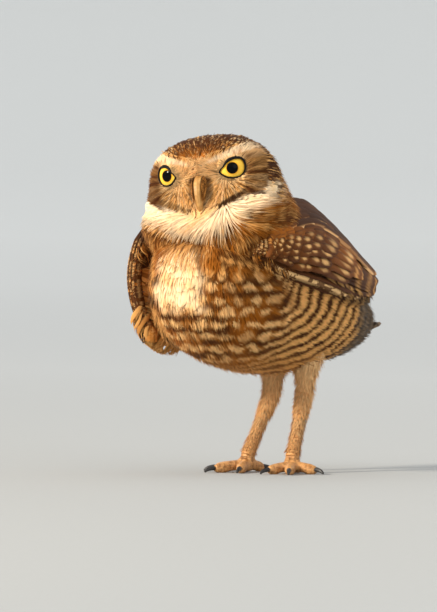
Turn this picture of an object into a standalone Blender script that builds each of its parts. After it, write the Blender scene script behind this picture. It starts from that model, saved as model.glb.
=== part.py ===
"""Burrowing owl, a still life-size model that stands on its own feet.

The bird faces -Y, its left side is +X and the floor is Z = 0. Everything is placed in
that frame, and the whole is then set with the origin under the middle of its box.
"""

import math

import bmesh
import bpy
from mathutils import Matrix, Vector

# Main sizes in metres
GAP = 0.0003
BODY_RINGS = 20
RING_CLEARANCE = 0.006
WING_GAP = 0.0005
BODY_SIDES = 24
BODY_POWER = 2.3
HEAD_RINGS = 17
HEAD_SIDES = 28

# Body stations along the bird: y, underside, top of the back, half width
BODY = (
    (-0.0965, 0.117, 0.129, 0.006),
    (-0.0915, 0.099, 0.145, 0.026),
    (-0.0780, 0.084, 0.157, 0.038),
    (-0.0540, 0.071, 0.167, 0.046),
    (-0.0220, 0.064, 0.172, 0.048),
    (0.0080, 0.064, 0.164, 0.046),
    (0.0360, 0.069, 0.146, 0.041),
    (0.0600, 0.0730, 0.127, 0.0335),
    (0.0820, 0.0820, 0.110, 0.0215),
    (0.0960, 0.0890, 0.1015, 0.0110),
)
TAIL_CUT_Y = 0.0560

# Head: its centre, how far it is turned to the bird's left, and its tilt
HEAD_CENTRE = Vector((-0.0030, -0.0620, 0.1900))
HEAD_TURN = math.radians(18.0)
HEAD_TILT = math.radians(7.0)
# Head stations: height over the centre, half width, depth to the front, depth to the back
HEAD = (
    (0.0262, 0.004, 0.004, 0.004),
    (0.0245, 0.0185, 0.015, 0.023),
    (0.0205, 0.0285, 0.021, 0.033),
    (0.0140, 0.0355, 0.0250, 0.0390),
    (0.0070, 0.0390, 0.0270, 0.0420),
    (0.0000, 0.0410, 0.0275, 0.0450),
    (-0.0070, 0.0425, 0.0280, 0.0490),
    (-0.0140, 0.0445, 0.0290, 0.0535),
    (-0.0210, 0.0465, 0.0310, 0.0575),
    (-0.0290, 0.0475, 0.0350, 0.0595),
    (-0.0390, 0.0465, 0.0350, 0.0560),
    (-0.0500, 0.0400, 0.0280, 0.0450),
)
HEAD_LEAN = 0.0012
HEAD_BASE_Z = 0.1660
NECK_BASE_Z = 0.1530
COLLAR_SLOPE = math.radians(11.0)
COLLAR_Y = -0.0500

# Eyes: ball radius, and where the middle of the ball lies in the head
EYE_RADIUS = 0.0110
EYE_SIDE = 0.0182
EYE_FRONT = 0.0130
EYE_UP = 0.0026
EYE_SPLAY = math.radians(20.0)
LID_ANGLE = math.radians(47.0)
LID_THICKNESS = 0.0012
ORBIT_ANGLE = math.radians(62.0)
ORBIT_THICKNESS = 0.0027

# Brow ridge in the head's frame: side, forward, up; and its radii along it
BROW = (
    (0.0010, 0.0250, 0.0020),
    (0.0080, 0.0262, 0.0085),
    (0.0180, 0.0248, 0.0122),
    (0.0260, 0.0190, 0.0135),
    (0.0310, 0.0100, 0.0130),
)
BROW_RADII = (0.0026, 0.0030, 0.0028, 0.0024, 0.0016)

# Bill: path of the ridge in the head (forward, up), half width, half depth
BILL_UPPER = (
    (0.0215, -0.0030, 0.0044, 0.0040),
    (0.0260, -0.0048, 0.0042, 0.0046),
    (0.0288, -0.0082, 0.0038, 0.0044),
    (0.0303, -0.0125, 0.0032, 0.0037),
    (0.0306, -0.0170, 0.0025, 0.0028),
    (0.0301, -0.0210, 0.0016, 0.0018),
    (0.0291, -0.0245, 0.0007, 0.0008),
)
BILL_LOWER = (
    (0.0190, -0.0155, 0.0036, 0.0024),
    (0.0235, -0.0180, 0.0032, 0.0022),
    (0.0262, -0.0205, 0.0022, 0.0015),
    (0.0276, -0.0222, 0.0010, 0.0008),
)
NOSTRIL_RADIUS = 0.0011
NOSTRIL_PLACE = (0.0042, 0.0268, -0.0073)

# Wing edges from the bend to the tip: x outwards, y, z
WING_LEFT_LOW = (
    (0.0450, -0.0720, 0.141),
    (0.0500, -0.0550, 0.131),
    (0.0520, -0.0200, 0.122),
    (0.0470, 0.0250, 0.1125),
    (0.0370, 0.0580, 0.1130),
    (0.0275, 0.0800, 0.1185),
)
WING_LEFT_HIGH = (
    (0.0420, -0.0690, 0.153),
    (0.0360, -0.0480, 0.164),
    (0.0240, -0.0080, 0.1695),
    (0.0215, 0.0250, 0.1560),
    (0.0230, 0.0560, 0.1360),
    (0.0255, 0.0790, 0.1210),
)
WING_RIGHT_LOW = (
    (0.0500, -0.0670, 0.0900),
    (0.0515, -0.0450, 0.0825),
    (0.0510, -0.0080, 0.0830),
    (0.0460, 0.0320, 0.0880),
    (0.0370, 0.0600, 0.0970),
    (0.0285, 0.0820, 0.1080),
)
WING_RIGHT_HIGH = (
    (0.0480, -0.0710, 0.157),
    (0.0350, -0.0480, 0.165),
    (0.0240, -0.0080, 0.1695),
    (0.0210, 0.0250, 0.1555),
    (0.0220, 0.0560, 0.136),
    (0.0260, 0.0820, 0.1130),
)
WING_BOW = 0.16
WING_STEPS = 11
WING_ROWS = 6

# Rows of wing feathers: how many, share along the wing of their tips at the lower and the upper end
# of the row, length as a share of the wing, height across the wing at both ends, width, lift of the tip
WING_FEATHERS = {
    "primaries": (5, 0.90, 1.00, 0.46, 0.05, 0.66, 0.0110, 0.0006),
    "secondaries": (5, 0.70, 0.90, 0.42, 0.34, 0.90, 0.0130, 0.0010),
    "greater_coverts": (5, 0.54, 0.66, 0.30, 0.08, 0.82, 0.0135, 0.0014),
    "median_coverts": (5, 0.37, 0.48, 0.24, 0.12, 0.80, 0.0135, 0.0018),
    "lesser_coverts": (4, 0.23, 0.31, 0.18, 0.18, 0.78, 0.0135, 0.0021),
    "scapulars": (4, 0.36, 0.68, 0.26, 0.92, 0.96, 0.0150, 0.0024),
}
FEATHER_ROOT_DEPTH = -0.0016
FEATHER_THICKNESS = 0.0010
FEATHER_ARCH = 0.0006

# Tail: twelve flight feathers in a narrow fan, with coverts over and under their roots
TAIL_ROOT = Vector((0.0, 0.0640, 0.1020))
TAIL_TIP_Y = 0.1110
TAIL_TIP_Z = 0.0955
TAIL_ROUNDING = 0.0080
TAIL_HALF = 0.0135
TAIL_FEATHERS = 12
TAIL_FEATHER_WIDTH = 0.0090
TAIL_STACK = 0.0030
COVERTS = 5
# Coverts from root to tip: x at the row's end, y, z, how far z and y change towards the row's end
UPPER_COVERT_ROOT = (0.0120, 0.0590, 0.1150, -0.0040, 0.0)
UPPER_COVERT_TIP = (0.0130, 0.0950, 0.1015, -0.0015, 0.0)
UPPER_COVERT_WIDTH = 0.0125
UPPER_COVERT_BOW = 0.0026
UNDER_COVERT_ROOT = (0.0150, 0.0600, 0.0840, 0.0060, 0.0)
UNDER_COVERT_TIP = (0.0130, 0.1000, 0.0905, 0.0, -0.0060)
UNDER_COVERT_WIDTH = 0.0140
UNDER_COVERT_BOW = -0.0032

# Legs: hip, heel and ankle joints, bird's right first, then its left
HIPS = (Vector((-0.0050, 0.0130, 0.078)), Vector((0.0210, 0.0120, 0.080)))
HEELS = (Vector((-0.0075, 0.0130, 0.0490)), Vector((0.0185, 0.0120, 0.0495)))
ANKLES = (Vector((-0.0130, -0.0070, 0.0100)), Vector((0.0220, -0.0070, 0.0100)))
THIGH_RADII = (0.0120, 0.0095, 0.0066, 0.0052)
SHANK_RADII = (0.0046, 0.0040, 0.0038, 0.0046)
# Toes of each foot: name, direction in degrees from straight ahead to the bird's left, length
TOES = {
    "right": (("inner", 22.0, 0.0215), ("middle", -22.0, 0.0250), ("outer", -62.0, 0.0205), ("hind", 160.0, 0.0125)),
    "left": (("inner", -10.0, 0.0215), ("middle", 30.0, 0.0250), ("outer", 76.0, 0.0225), ("hind", -165.0, 0.0125)),
}
TOE_RADIUS = 0.0034
TOE_RADII = (0.0039, 0.0036, 0.0034, 0.0034, 0.0036, 0.0025)
TOE_LOWEST = 0.0029
TOE_SIDES = 8
FOOT_KNOB_Z = 0.0062
FOOT_KNOB_RADIUS = 0.0056
# Claws: how far forward they reach, the turn of their curve, radii from root to tip, height of the tip's middle
CLAW_REACH = 0.0074
CLAW_TURN = math.radians(70.0)
CLAW_RADII = (0.0016, 0.0014, 0.0011, 0.0006)
CLAW_TIP_Z = 0.0007

COLOURS = {
    "plumage": (0.20, 0.11, 0.05, 1.0),
    "head": (0.26, 0.15, 0.07, 1.0),
    "skin": (0.62, 0.40, 0.20, 1.0),
    "horn": (0.55, 0.48, 0.30, 1.0),
    "claw": (0.03, 0.03, 0.035, 1.0),
    "eye": (0.80, 0.60, 0.02, 1.0),
}


def spline_row(rows, t):
    """Row at t along a Catmull-Rom curve through rows, with t from 0 to 1."""
    span = len(rows) - 1
    place = min(max(t, 0.0), 1.0) * span
    i = min(int(place), span - 1)
    f = place - i
    before, start, end, after = (rows[min(max(k, 0), span)] for k in (i - 1, i, i + 1, i + 2))
    found = []
    for a, b, c, d in zip(before, start, end, after):
        found.append(0.5 * (2 * b + (c - a) * f + (2 * a - 5 * b + 4 * c - d) * f * f
                            + (3 * b - a - 3 * c + d) * f ** 3))
    return found


def swell(value, power):
    """Signed power that turns a circle's sine or cosine into a superellipse's."""
    return math.copysign(abs(value) ** (2.0 / power), value)


def body_point(t, angle, out=0.0):
    """Point of the body's surface; angle 0 is the back's middle and a right angle the bird's left."""
    y, low, high, half = spline_row(BODY, t)
    middle = (low + high) / 2
    rise = (high - low) / 2 + out
    x = (half + out) * swell(math.sin(angle), BODY_POWER)
    z = middle + rise * swell(math.cos(angle), BODY_POWER)
    return Vector((x, y, z))


def head_frame(share=1.0):
    """Axes of the head: columns are the bird's left, forward and up, turned by share of the full turn."""
    turn = Matrix.Rotation(HEAD_TURN * share, 3, "Z")
    tilt = Matrix.Rotation(HEAD_TILT * share, 3, "Y").inverted()
    return turn @ tilt


def in_head(side, forward, up):
    """World point of a place in the head's own frame."""
    return HEAD_CENTRE + head_frame() @ Vector((side, -forward, up))


def make_object(name, points, faces):
    mesh = bpy.data.meshes.new(name)
    mesh.from_pydata([tuple(p) for p in points], [], faces)
    obj = bpy.data.objects.new(name, mesh)
    bpy.context.scene.collection.objects.link(obj)
    face_outwards(obj)
    return obj


def face_outwards(obj):
    shape = bmesh.new()
    shape.from_mesh(obj.data)
    bmesh.ops.recalc_face_normals(shape, faces=shape.faces)
    shape.to_mesh(obj.data)
    shape.free()


def loft(name, rings):
    """Closed surface through rings of equal count, each end closed by a fan round its middle."""
    sides = len(rings[0])
    points = [p for ring in rings for p in ring]
    faces = []
    for i in range(len(rings) - 1):
        for j in range(sides):
            a = i * sides + j
            b = i * sides + (j + 1) % sides
            faces.append((a, b, b + sides))
            faces.append((a, b + sides, a + sides))
    for start, ring in ((0, rings[0]), ((len(rings) - 1) * sides, rings[-1])):
        centre = len(points)
        points.append(sum(ring, Vector()) / sides)
        for j in range(sides):
            faces.append((start + j, start + (j + 1) % sides, centre))
    return make_object(name, points, faces)


def tube(name, path, radii, sides=10, squash=1.0, flat_to=None):
    """Round limb along a path of points; radii are read along it, squash narrows it along flat_to."""
    rings = []
    for i, centre in enumerate(path):
        ahead = path[min(i + 1, len(path) - 1)] - path[max(i - 1, 0)]
        ahead.normalize()
        across = (flat_to or Vector((1, 0, 0))).cross(ahead).normalized()
        other = ahead.cross(across).normalized()
        radius = spline_row([(r,) for r in radii], i / (len(path) - 1))[0]
        ring = []
        for k in range(sides):
            angle = 2 * math.pi * k / sides
            ring.append(centre + across * radius * math.cos(angle) + other * radius * squash * math.sin(angle))
        rings.append(ring)
    return loft(name, rings)


def ball(name, centre, radius, segments=24, rings=14):
    shape = bmesh.new()
    bmesh.ops.create_uvsphere(shape, u_segments=segments, v_segments=rings, radius=radius)
    bmesh.ops.translate(shape, verts=shape.verts, vec=centre)
    bmesh.ops.triangulate(shape, faces=shape.faces)
    mesh = bpy.data.meshes.new(name)
    shape.to_mesh(mesh)
    shape.free()
    obj = bpy.data.objects.new(name, mesh)
    bpy.context.scene.collection.objects.link(obj)
    return obj


def combine(obj, others, operation, solver="EXACT"):
    """Applies one Boolean of a collection of closed meshes to obj and removes those meshes."""
    group = bpy.data.collections.new(obj.name + "_pieces")
    bpy.context.scene.collection.children.link(group)
    for other in others:
        for owner in list(other.users_collection):
            owner.objects.unlink(other)
        group.objects.link(other)
    modifier = obj.modifiers.new("Join", "BOOLEAN")
    modifier.operation = operation
    modifier.solver = solver
    modifier.operand_type = "COLLECTION"
    modifier.collection = group
    graph = bpy.context.evaluated_depsgraph_get()
    result = bpy.data.meshes.new_from_object(obj.evaluated_get(graph))
    obj.modifiers.clear()
    obj.data = result
    for other in others:
        bpy.data.objects.remove(other)
    bpy.data.collections.remove(group)
    keep_largest(obj)
    return obj


def keep_largest(obj):
    """Leaves only the closed surface of the largest volume."""
    shape = bmesh.new()
    shape.from_mesh(obj.data)
    bmesh.ops.triangulate(shape, faces=shape.faces)
    bmesh.ops.remove_doubles(shape, verts=shape.verts, dist=1e-7)
    left = set(shape.faces)
    best, best_volume = set(), -1.0
    while left:
        front = [left.pop()]
        found = set(front)
        while front:
            for edge in front.pop().edges:
                for face in edge.link_faces:
                    if face in left:
                        left.discard(face)
                        found.add(face)
                        front.append(face)
        volume = 0.0
        for face in found:
            a, b, c = (v.co for v in face.verts)
            volume += a.dot(b.cross(c)) / 6
        if volume > best_volume:
            best, best_volume = found, volume
    bmesh.ops.delete(shape, geom=[f for f in shape.faces if f not in best], context="FACES")
    shape.to_mesh(obj.data)
    shape.free()


def half_space(name, origin, normal, size=0.6):
    """Box whose one face passes through origin, with the rest on the side of normal."""
    shape = bmesh.new()
    bmesh.ops.create_cube(shape, size=size)
    bmesh.ops.translate(shape, verts=shape.verts, vec=(0, 0, size / 2))
    turn = Vector((0, 0, 1)).rotation_difference(normal.normalized()).to_matrix().to_4x4()
    bmesh.ops.transform(shape, matrix=Matrix.Translation(origin) @ turn, verts=shape.verts)
    mesh = bpy.data.meshes.new(name)
    shape.to_mesh(mesh)
    shape.free()
    obj = bpy.data.objects.new(name, mesh)
    bpy.context.scene.collection.objects.link(obj)
    return obj


def body_loft(name, start, end, out=0.0):
    """Body between two shares of its length, through the rings that all its pieces share."""
    shares = [i / BODY_RINGS for i in range(BODY_RINGS + 1)]
    shares = [start] + [t for t in shares if start + RING_CLEARANCE < t < end - RING_CLEARANCE] + [end]
    turns = [2 * math.pi * j / BODY_SIDES for j in range(BODY_SIDES)]
    return loft(name, [[body_point(t, turn, out) for turn in turns] for t in shares])


def share_at(y):
    """Share of the body's length at which its station lies at y."""
    low, high = 0.0, 1.0
    for _ in range(40):
        middle = (low + high) / 2
        if spline_row(BODY, middle)[0] < y:
            low = middle
        else:
            high = middle
    return (low + high) / 2


def disc_hollow(side, forward, up):
    """How far the facial disc falls back round each eye and over the cheek."""
    if forward < 0:
        return 0.0
    depth = 0.0
    for sign in (-1, 1):
        far = math.hypot(side - sign * 0.0205, (up - EYE_UP + 0.002) * 0.9)
        depth += 0.0038 * math.exp(-((far / 0.0115) ** 2))
    return depth


def head_point(t, angle, out=0.0):
    """Point of the head and neck; angle 0 is straight ahead and a right angle the bird's left."""
    up, half, front, back = spline_row(HEAD, t)
    turned = min(max((up + 0.040) / 0.022, 0.0), 1.0)
    depth = (front if math.cos(angle) > 0 else back) + out
    power = 2.6 if math.cos(angle) > 0 else 2.15
    side = (half + out) * swell(math.sin(angle), power)
    forward = depth * swell(math.cos(angle), power)
    forward -= disc_hollow(side, forward, up)
    side += HEAD_LEAN * turned
    centre = HEAD_CENTRE.lerp(Vector((0.0, -0.0560, HEAD_CENTRE.z)), 1 - turned)
    return centre + head_frame(turned) @ Vector((side, -forward, up))


def head_loft(name, out=0.0):
    loops = []
    for i in range(HEAD_RINGS + 1):
        t = i / HEAD_RINGS
        loops.append([head_point(t, 2 * math.pi * j / HEAD_SIDES, out) for j in range(HEAD_SIDES)])
    return loft(name, loops)


def collar_plane(name, height, up):
    """Half space over or under the slanted plane of the collar at this height."""
    normal = Vector((0.0, -math.sin(COLLAR_SLOPE), math.cos(COLLAR_SLOPE)))
    origin = Vector((0.0, COLLAR_Y, height)) + normal * (GAP / 2 if up else -GAP / 2)
    return half_space(name, origin, normal if up else -normal)


def eye_centre(side):
    return in_head(side * EYE_SIDE, EYE_FRONT, EYE_UP)


def eye_axis(side):
    return (head_frame() @ Vector((side * math.sin(EYE_SPLAY), -math.cos(EYE_SPLAY), 0.0))).normalized()


def ring_piece(name, side, centre_distance, angle, thickness, sides=16, around=5):
    """Round lid: a torus about the eye's axis, resting just off the ball."""
    axis = eye_axis(side)
    centre = eye_centre(side) + axis * centre_distance * math.cos(angle)
    across = axis.cross(Vector((0, 0, 1))).normalized()
    other = axis.cross(across)
    radius = centre_distance * math.sin(angle)
    points = []
    faces = []
    for i in range(sides):
        turn = 2 * math.pi * i / sides
        outward = across * math.cos(turn) + other * math.sin(turn)
        for j in range(around):
            roll = 2 * math.pi * j / around
            points.append(centre + outward * (radius + thickness * math.cos(roll)) + axis * thickness * math.sin(roll))
            a = i * around + j
            b = i * around + (j + 1) % around
            c = (a + around) % (sides * around)
            d = (b + around) % (sides * around)
            faces.append((a, b, d))
            faces.append((a, d, c))
    return make_object(name, points, faces)


def bill_loft(name, rows, out=0.0, start=0.0):
    rings = []
    steps = 12
    for i in range(steps + 1):
        t = start + (1.0 - start) * i / steps
        forward, up, half, deep = spline_row(rows, t)
        ahead = spline_row(rows, min(t + 0.02, 1.0))
        behind = spline_row(rows, max(t - 0.02, 0.0))
        run = Vector((0.0, -(ahead[0] - behind[0]), ahead[1] - behind[1])).normalized()
        over = Vector((1, 0, 0)).cross(run)
        ring = []
        for k in range(12):
            angle = 2 * math.pi * k / 12
            place = Vector((0.0, -forward, up)) + Vector((1, 0, 0)) * (half + out) * math.cos(angle)
            place += over * (deep + out) * math.sin(angle)
            ring.append(HEAD_CENTRE + head_frame() @ place)
        rings.append(ring)
    return loft(name, rings)


def make_bill():
    upper = bill_loft("bill_upper", BILL_UPPER)
    for side in (-1, 1):
        place = in_head(side * NOSTRIL_PLACE[0], NOSTRIL_PLACE[1], NOSTRIL_PLACE[2])
        combine(upper, [ball("nostril", place, NOSTRIL_RADIUS, 10, 6)], "DIFFERENCE")
    lower = bill_loft("bill_lower", BILL_LOWER)
    combine(lower, [bill_loft("bill_gap", BILL_UPPER, GAP)], "DIFFERENCE")
    return upper, lower


def make_head_and_neck():
    head = head_loft("head")
    pieces = []
    for side in (-1, 1):
        pieces.append(ring_piece("lid", side, EYE_RADIUS + GAP + LID_THICKNESS, LID_ANGLE, LID_THICKNESS))
        pieces.append(ring_piece("orbit", side, EYE_RADIUS + ORBIT_THICKNESS, ORBIT_ANGLE, ORBIT_THICKNESS))
        brow = [in_head(side * reach, front, up) for reach, front, up in BROW]
        pieces.append(tube("brow", brow, BROW_RADII, 6))
    combine(head, pieces, "UNION")
    sockets = [ball("socket", eye_centre(side), EYE_RADIUS + GAP * 1.6, 18, 10) for side in (-1, 1)]
    sockets.append(bill_loft("bill_gap", BILL_UPPER, GAP))
    sockets.append(bill_loft("bill_gap", BILL_LOWER, GAP))
    combine(head, sockets, "DIFFERENCE")
    neck = bpy.data.objects.new("neck", head.data.copy())
    bpy.context.scene.collection.objects.link(neck)
    combine(head, [collar_plane("above", HEAD_BASE_Z, True)], "INTERSECT")
    combine(neck, [collar_plane("below", HEAD_BASE_Z, False)], "INTERSECT")
    combine(neck, [collar_plane("above", NECK_BASE_Z, True)], "INTERSECT")
    return head, neck


def make_torso():
    torso = body_loft("torso", 0.0, share_at(TAIL_CUT_Y - GAP / 2))
    core = head_loft("neck_root")
    combine(torso, [core], "UNION")
    combine(torso, [collar_plane("below", NECK_BASE_Z, False)], "INTERSECT")
    roots = [thigh_piece("thigh_gap", i, GAP) for i in (0, 1)]
    combine(torso, roots, "DIFFERENCE")
    return torso


def thigh_piece(name, index, out=0.0):
    path = [HIPS[index].lerp(HEELS[index], k / 6) for k in range(7)]
    if out:
        path[0] = path[0] + (HIPS[index] - HEELS[index]).normalized() * out
    return tube(name, path, [r + out for r in THIGH_RADII], 14)


def make_leg(index):
    side = ("right", "left")[index]
    thigh = thigh_piece("thigh_" + side, index)
    drop = (ANKLES[index] - HEELS[index]).normalized()
    start = HEELS[index] + drop * GAP
    path = [start.lerp(ANKLES[index], k / 6) for k in range(7)]
    shank = tube("shank_" + side, path, SHANK_RADII, 12)
    normal = (HEELS[index] - HIPS[index]).normalized()
    combine(shank, [half_space("below", HEELS[index] + normal * GAP, normal)], "INTERSECT")
    return thigh, shank


def toe_paths(index):
    """Name, path and heading of each toe of one foot."""
    side = ("right", "left")[index]
    centre = ANKLES[index]
    for name, degrees, length in TOES[side]:
        heading = Vector((math.sin(math.radians(degrees)), -math.cos(math.radians(degrees)), 0.0))
        path = []
        for k in range(6):
            share = k / 5
            arch = 0.0016 * math.sin(math.pi * min(share * 1.2, 1.0))
            height = (TOE_RADIUS - 0.0003) * share + (centre.z - 0.003) * (1 - share) ** 2 * 0.55 + arch
            path.append(Vector((centre.x, centre.y, 0.0)) + heading * length * share + Vector((0, 0, max(height, TOE_LOWEST))))
        yield name, path, heading


def make_foot(index):
    side = ("right", "left")[index]
    nodes = []
    pieces = []
    for name, path, heading in toe_paths(index):
        pieces.append(tube("toe", path, TOE_RADII, TOE_SIDES, 1.0, Vector((0, 0, 1))))
        start = path[-1] + heading * GAP
        claw = []
        for k in range(7):
            turn = CLAW_TURN * k / 6
            forward = CLAW_REACH * math.sin(turn)
            drop = (start.z - CLAW_TIP_Z) * (1 - math.cos(turn)) / (1 - math.cos(CLAW_TURN))
            claw.append(start + heading * forward - Vector((0, 0, drop)))
        nodes.append(tube("claw_" + side + "_" + name, claw, CLAW_RADII, 8, 1.0, Vector((0, 0, 1))))
    knob = ball("knob", Vector((ANKLES[index].x, ANKLES[index].y, FOOT_KNOB_Z)), FOOT_KNOB_RADIUS, 16, 10)
    foot = combine(pieces[0], pieces[1:] + [knob], "UNION", "MANIFOLD")
    foot.name = "foot_" + side
    drop = (ANKLES[index] - HEELS[index]).normalized()
    combine(foot, [half_space("below", ANKLES[index] + drop * GAP, drop)], "INTERSECT")
    combine(foot, [half_space("floor", Vector((0, 0, 0)), Vector((0, 0, 1)))], "INTERSECT")
    for claw in nodes:
        combine(claw, [half_space("floor", Vector((0, 0, 0)), Vector((0, 0, 1)))], "INTERSECT")
    return [foot] + nodes


def wing_point(side, low_edge, high_edge, s, r, lift=0.0):
    """Point of the wing's outer surface; s runs from the bend to the tip and r from the lower edge up."""
    low = Vector(spline_row(low_edge, s))
    high = Vector(spline_row(high_edge, s))
    ahead = Vector(spline_row(low_edge, min(s + 0.02, 1.0))) - Vector(spline_row(low_edge, max(s - 0.02, 0.0)))
    chord = high - low
    normal = ahead.cross(chord).normalized()
    if normal.x < 0:
        normal.negate()
    bow = WING_BOW * chord.length * math.sin(math.pi * r) ** 0.8
    place = low.lerp(high, r) + normal * (bow + lift)
    return Vector((side * place.x, place.y, place.z))


def wing_core(name, side, low_edge, high_edge, thickness):
    """Closed plate under the wing's outer surface, with thickness given by a function of s and r."""
    outer = []
    inner = []
    for i in range(WING_STEPS + 1):
        for j in range(WING_ROWS + 1):
            s = i / WING_STEPS
            r = j / WING_ROWS
            outer.append(wing_point(side, low_edge, high_edge, s, r))
            inner.append(wing_point(side, low_edge, high_edge, s, r, -thickness(s, r)))
    count = len(outer)
    row = WING_ROWS + 1
    faces = []
    for i in range(WING_STEPS):
        for j in range(WING_ROWS):
            a, b, c, d = i * row + j, i * row + j + 1, (i + 1) * row + j + 1, (i + 1) * row + j
            faces += [(a, b, c), (a, c, d), (count + a, count + c, count + b), (count + a, count + d, count + c)]
    rim = [j for j in range(row)]
    rim += [i * row + WING_ROWS for i in range(1, WING_STEPS + 1)]
    rim += [WING_STEPS * row + j for j in range(WING_ROWS - 1, -1, -1)]
    rim += [i * row for i in range(WING_STEPS - 1, 0, -1)]
    for k, a in enumerate(rim):
        b = rim[(k + 1) % len(rim)]
        faces += [(a, count + b, b), (a, count + a, count + b)]
    return make_object(name, outer + inner, faces)


def width_share(u):
    """Width of a feather at u along it, as a share of its greatest width."""
    if u < 0.72:
        return 0.45 + 0.55 * math.sin(math.pi / 2 * u / 0.72)
    return math.sqrt(max(1.0 - ((u - 0.72) / 0.30) ** 2, 0.0))


def vane(name, path, normals, width, thickness=FEATHER_THICKNESS):
    """Closed feather along a path: a thin arched blade whose two faces are split alike."""
    last = len(path) - 1
    points = []
    faces = []
    for i in range(last):
        run = (path[i + 1] - path[max(i - 1, 0)]).normalized()
        over = (normals[i] - run * normals[i].dot(run)).normalized()
        across = run.cross(over)
        half = width / 2 * width_share(i / last)
        thick = thickness * (1.0 - 0.35 * i / last)
        points.append(path[i] - across * half - over * FEATHER_ARCH)
        points.append(path[i] + over * thick / 2)
        points.append(path[i] + across * half - over * FEATHER_ARCH)
        points.append(path[i] - over * thick / 2 - over * FEATHER_ARCH * 0.4)
    for i in range(last - 1):
        a = 4 * i
        for near, far in ((0, 1), (2, 1), (0, 3), (2, 3)):
            faces.append((a + near, a + far, a + far + 4))
            faces.append((a + near, a + far + 4, a + near + 4))
    faces += [(0, 1, 3), (1, 2, 3)]
    tip = len(points)
    points.append(path[last] - normals[last] * FEATHER_ARCH)
    base = 4 * (last - 1)
    faces += [(base + k, base + (k + 1) % 4, tip) for k in range(4)]
    return make_object(name, points, faces)


FEATHER_STEPS = (0.0, 0.30, 0.58, 0.80, 0.94, 1.0)


def wing_feathers(side, low_edge, high_edge):
    """Vanes of one wing in tiers, the shorter rows lying over the roots of the longer ones."""
    made = []
    for row, (count, tip_low, tip_high, length, r_low, r_high, width, lift) in WING_FEATHERS.items():
        for k in range(count):
            share = k / (count - 1)
            tip = tip_low + (tip_high - tip_low) * share
            across = r_low + (r_high - r_low) * share
            root_across = across + (0.5 - across) * 0.10 if row == "primaries" else across
            sway = 0.012 * math.sin(2.4 * k + len(row))
            path = []
            normals = []
            for u in FEATHER_STEPS:
                s = tip - length * (1 - u) + sway
                r = min(max(root_across + (across - root_across) * u, 0.0), 1.0)
                height = FEATHER_ROOT_DEPTH + (lift + 0.0002 * (k % 2) - FEATHER_ROOT_DEPTH) * min(u * 2.0, 1.0)
                place = wing_point(side, low_edge, high_edge, s, r, height)
                inside = wing_point(side, low_edge, high_edge, s, r, height - 0.001)
                path.append(place)
                normals.append((place - inside).normalized())
            made.append(vane("feather", path, normals, width * (1.0 + 0.05 * math.sin(3.1 * k)), FEATHER_THICKNESS))
    return made


def left_thickness(s, r):
    return 0.0120 if s < 0.62 else 0.0120 + (0.0022 - 0.0120) * min((s - 0.62) / 0.2, 1.0)


def right_thickness(s, r):
    deep = left_thickness(s, r)
    edge = min(max((r - 0.35) / 0.3, 0.0), 1.0)
    front = min(max((0.45 - s) / 0.2, 0.0), 1.0)
    return deep + (0.0030 - deep) * front * (1 - edge)


def make_wings():
    wings = []
    for name, side, low_edge, high_edge, thickness in (
        ("wing_left", 1, WING_LEFT_LOW, WING_LEFT_HIGH, left_thickness),
        ("wing_right", -1, WING_RIGHT_LOW, WING_RIGHT_HIGH, right_thickness),
    ):
        wing = wing_core(name, side, low_edge, high_edge, thickness)
        combine(wing, wing_feathers(side, low_edge, high_edge), "UNION", "MANIFOLD")
        clear = [body_loft("body_gap", 0.0, 1.0, WING_GAP), head_loft("head_gap", WING_GAP)]
        combine(wing, clear, "DIFFERENCE", "MANIFOLD")
        wings.append(wing)
    return wings


def straight_vane(name, start, end, width, bow=0.0):
    """One straight vane from start to end, lifted in its middle by bow."""
    path = []
    for u in FEATHER_STEPS:
        path.append(start.lerp(end, u) + Vector((0, 0, bow * math.sin(math.pi * u))))
    return vane(name, path, [Vector((0, 0, 1))] * len(path), width)


def across_row(count):
    """Evenly spaced shares from the bird's right, -1, to its left, 1."""
    return [2 * k / (count - 1) - 1 for k in range(count)]


def covert_place(place, share):
    reach, along, height, height_change, along_change = place
    return Vector((share * reach, along + along_change * share * share, height + height_change * abs(share)))


def make_tail():
    tail = body_loft("tail", share_at(TAIL_CUT_Y + GAP / 2), 0.985)
    pieces = []
    for share in across_row(TAIL_FEATHERS):
        stack = TAIL_STACK * (1 - abs(share))
        start = TAIL_ROOT + Vector((share * TAIL_HALF * 0.55, 0, stack))
        end = Vector((share * TAIL_HALF, TAIL_TIP_Y - TAIL_ROUNDING * share * share, TAIL_TIP_Z + stack))
        pieces.append(straight_vane("rectrix", start, end, TAIL_FEATHER_WIDTH))
    for share in across_row(COVERTS):
        start = covert_place(UPPER_COVERT_ROOT, share)
        end = covert_place(UPPER_COVERT_TIP, share)
        pieces.append(straight_vane("upper_covert", start, end, UPPER_COVERT_WIDTH, UPPER_COVERT_BOW))
        start = covert_place(UNDER_COVERT_ROOT, share)
        end = covert_place(UNDER_COVERT_TIP, share)
        pieces.append(straight_vane("under_covert", start, end, UNDER_COVERT_WIDTH, UNDER_COVERT_BOW))
    combine(tail, pieces, "UNION", "MANIFOLD")
    return tail


def paint(obj, kind, roughness):
    material = bpy.data.materials.new(obj.name)
    material.use_nodes = True
    shader = material.node_tree.nodes["Principled BSDF"]
    shader.inputs["Base Color"].default_value = COLOURS[kind]
    shader.inputs["Roughness"].default_value = roughness
    shader.inputs["Metallic"].default_value = 0.0
    obj.data.materials.clear()
    obj.data.materials.append(material)


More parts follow.
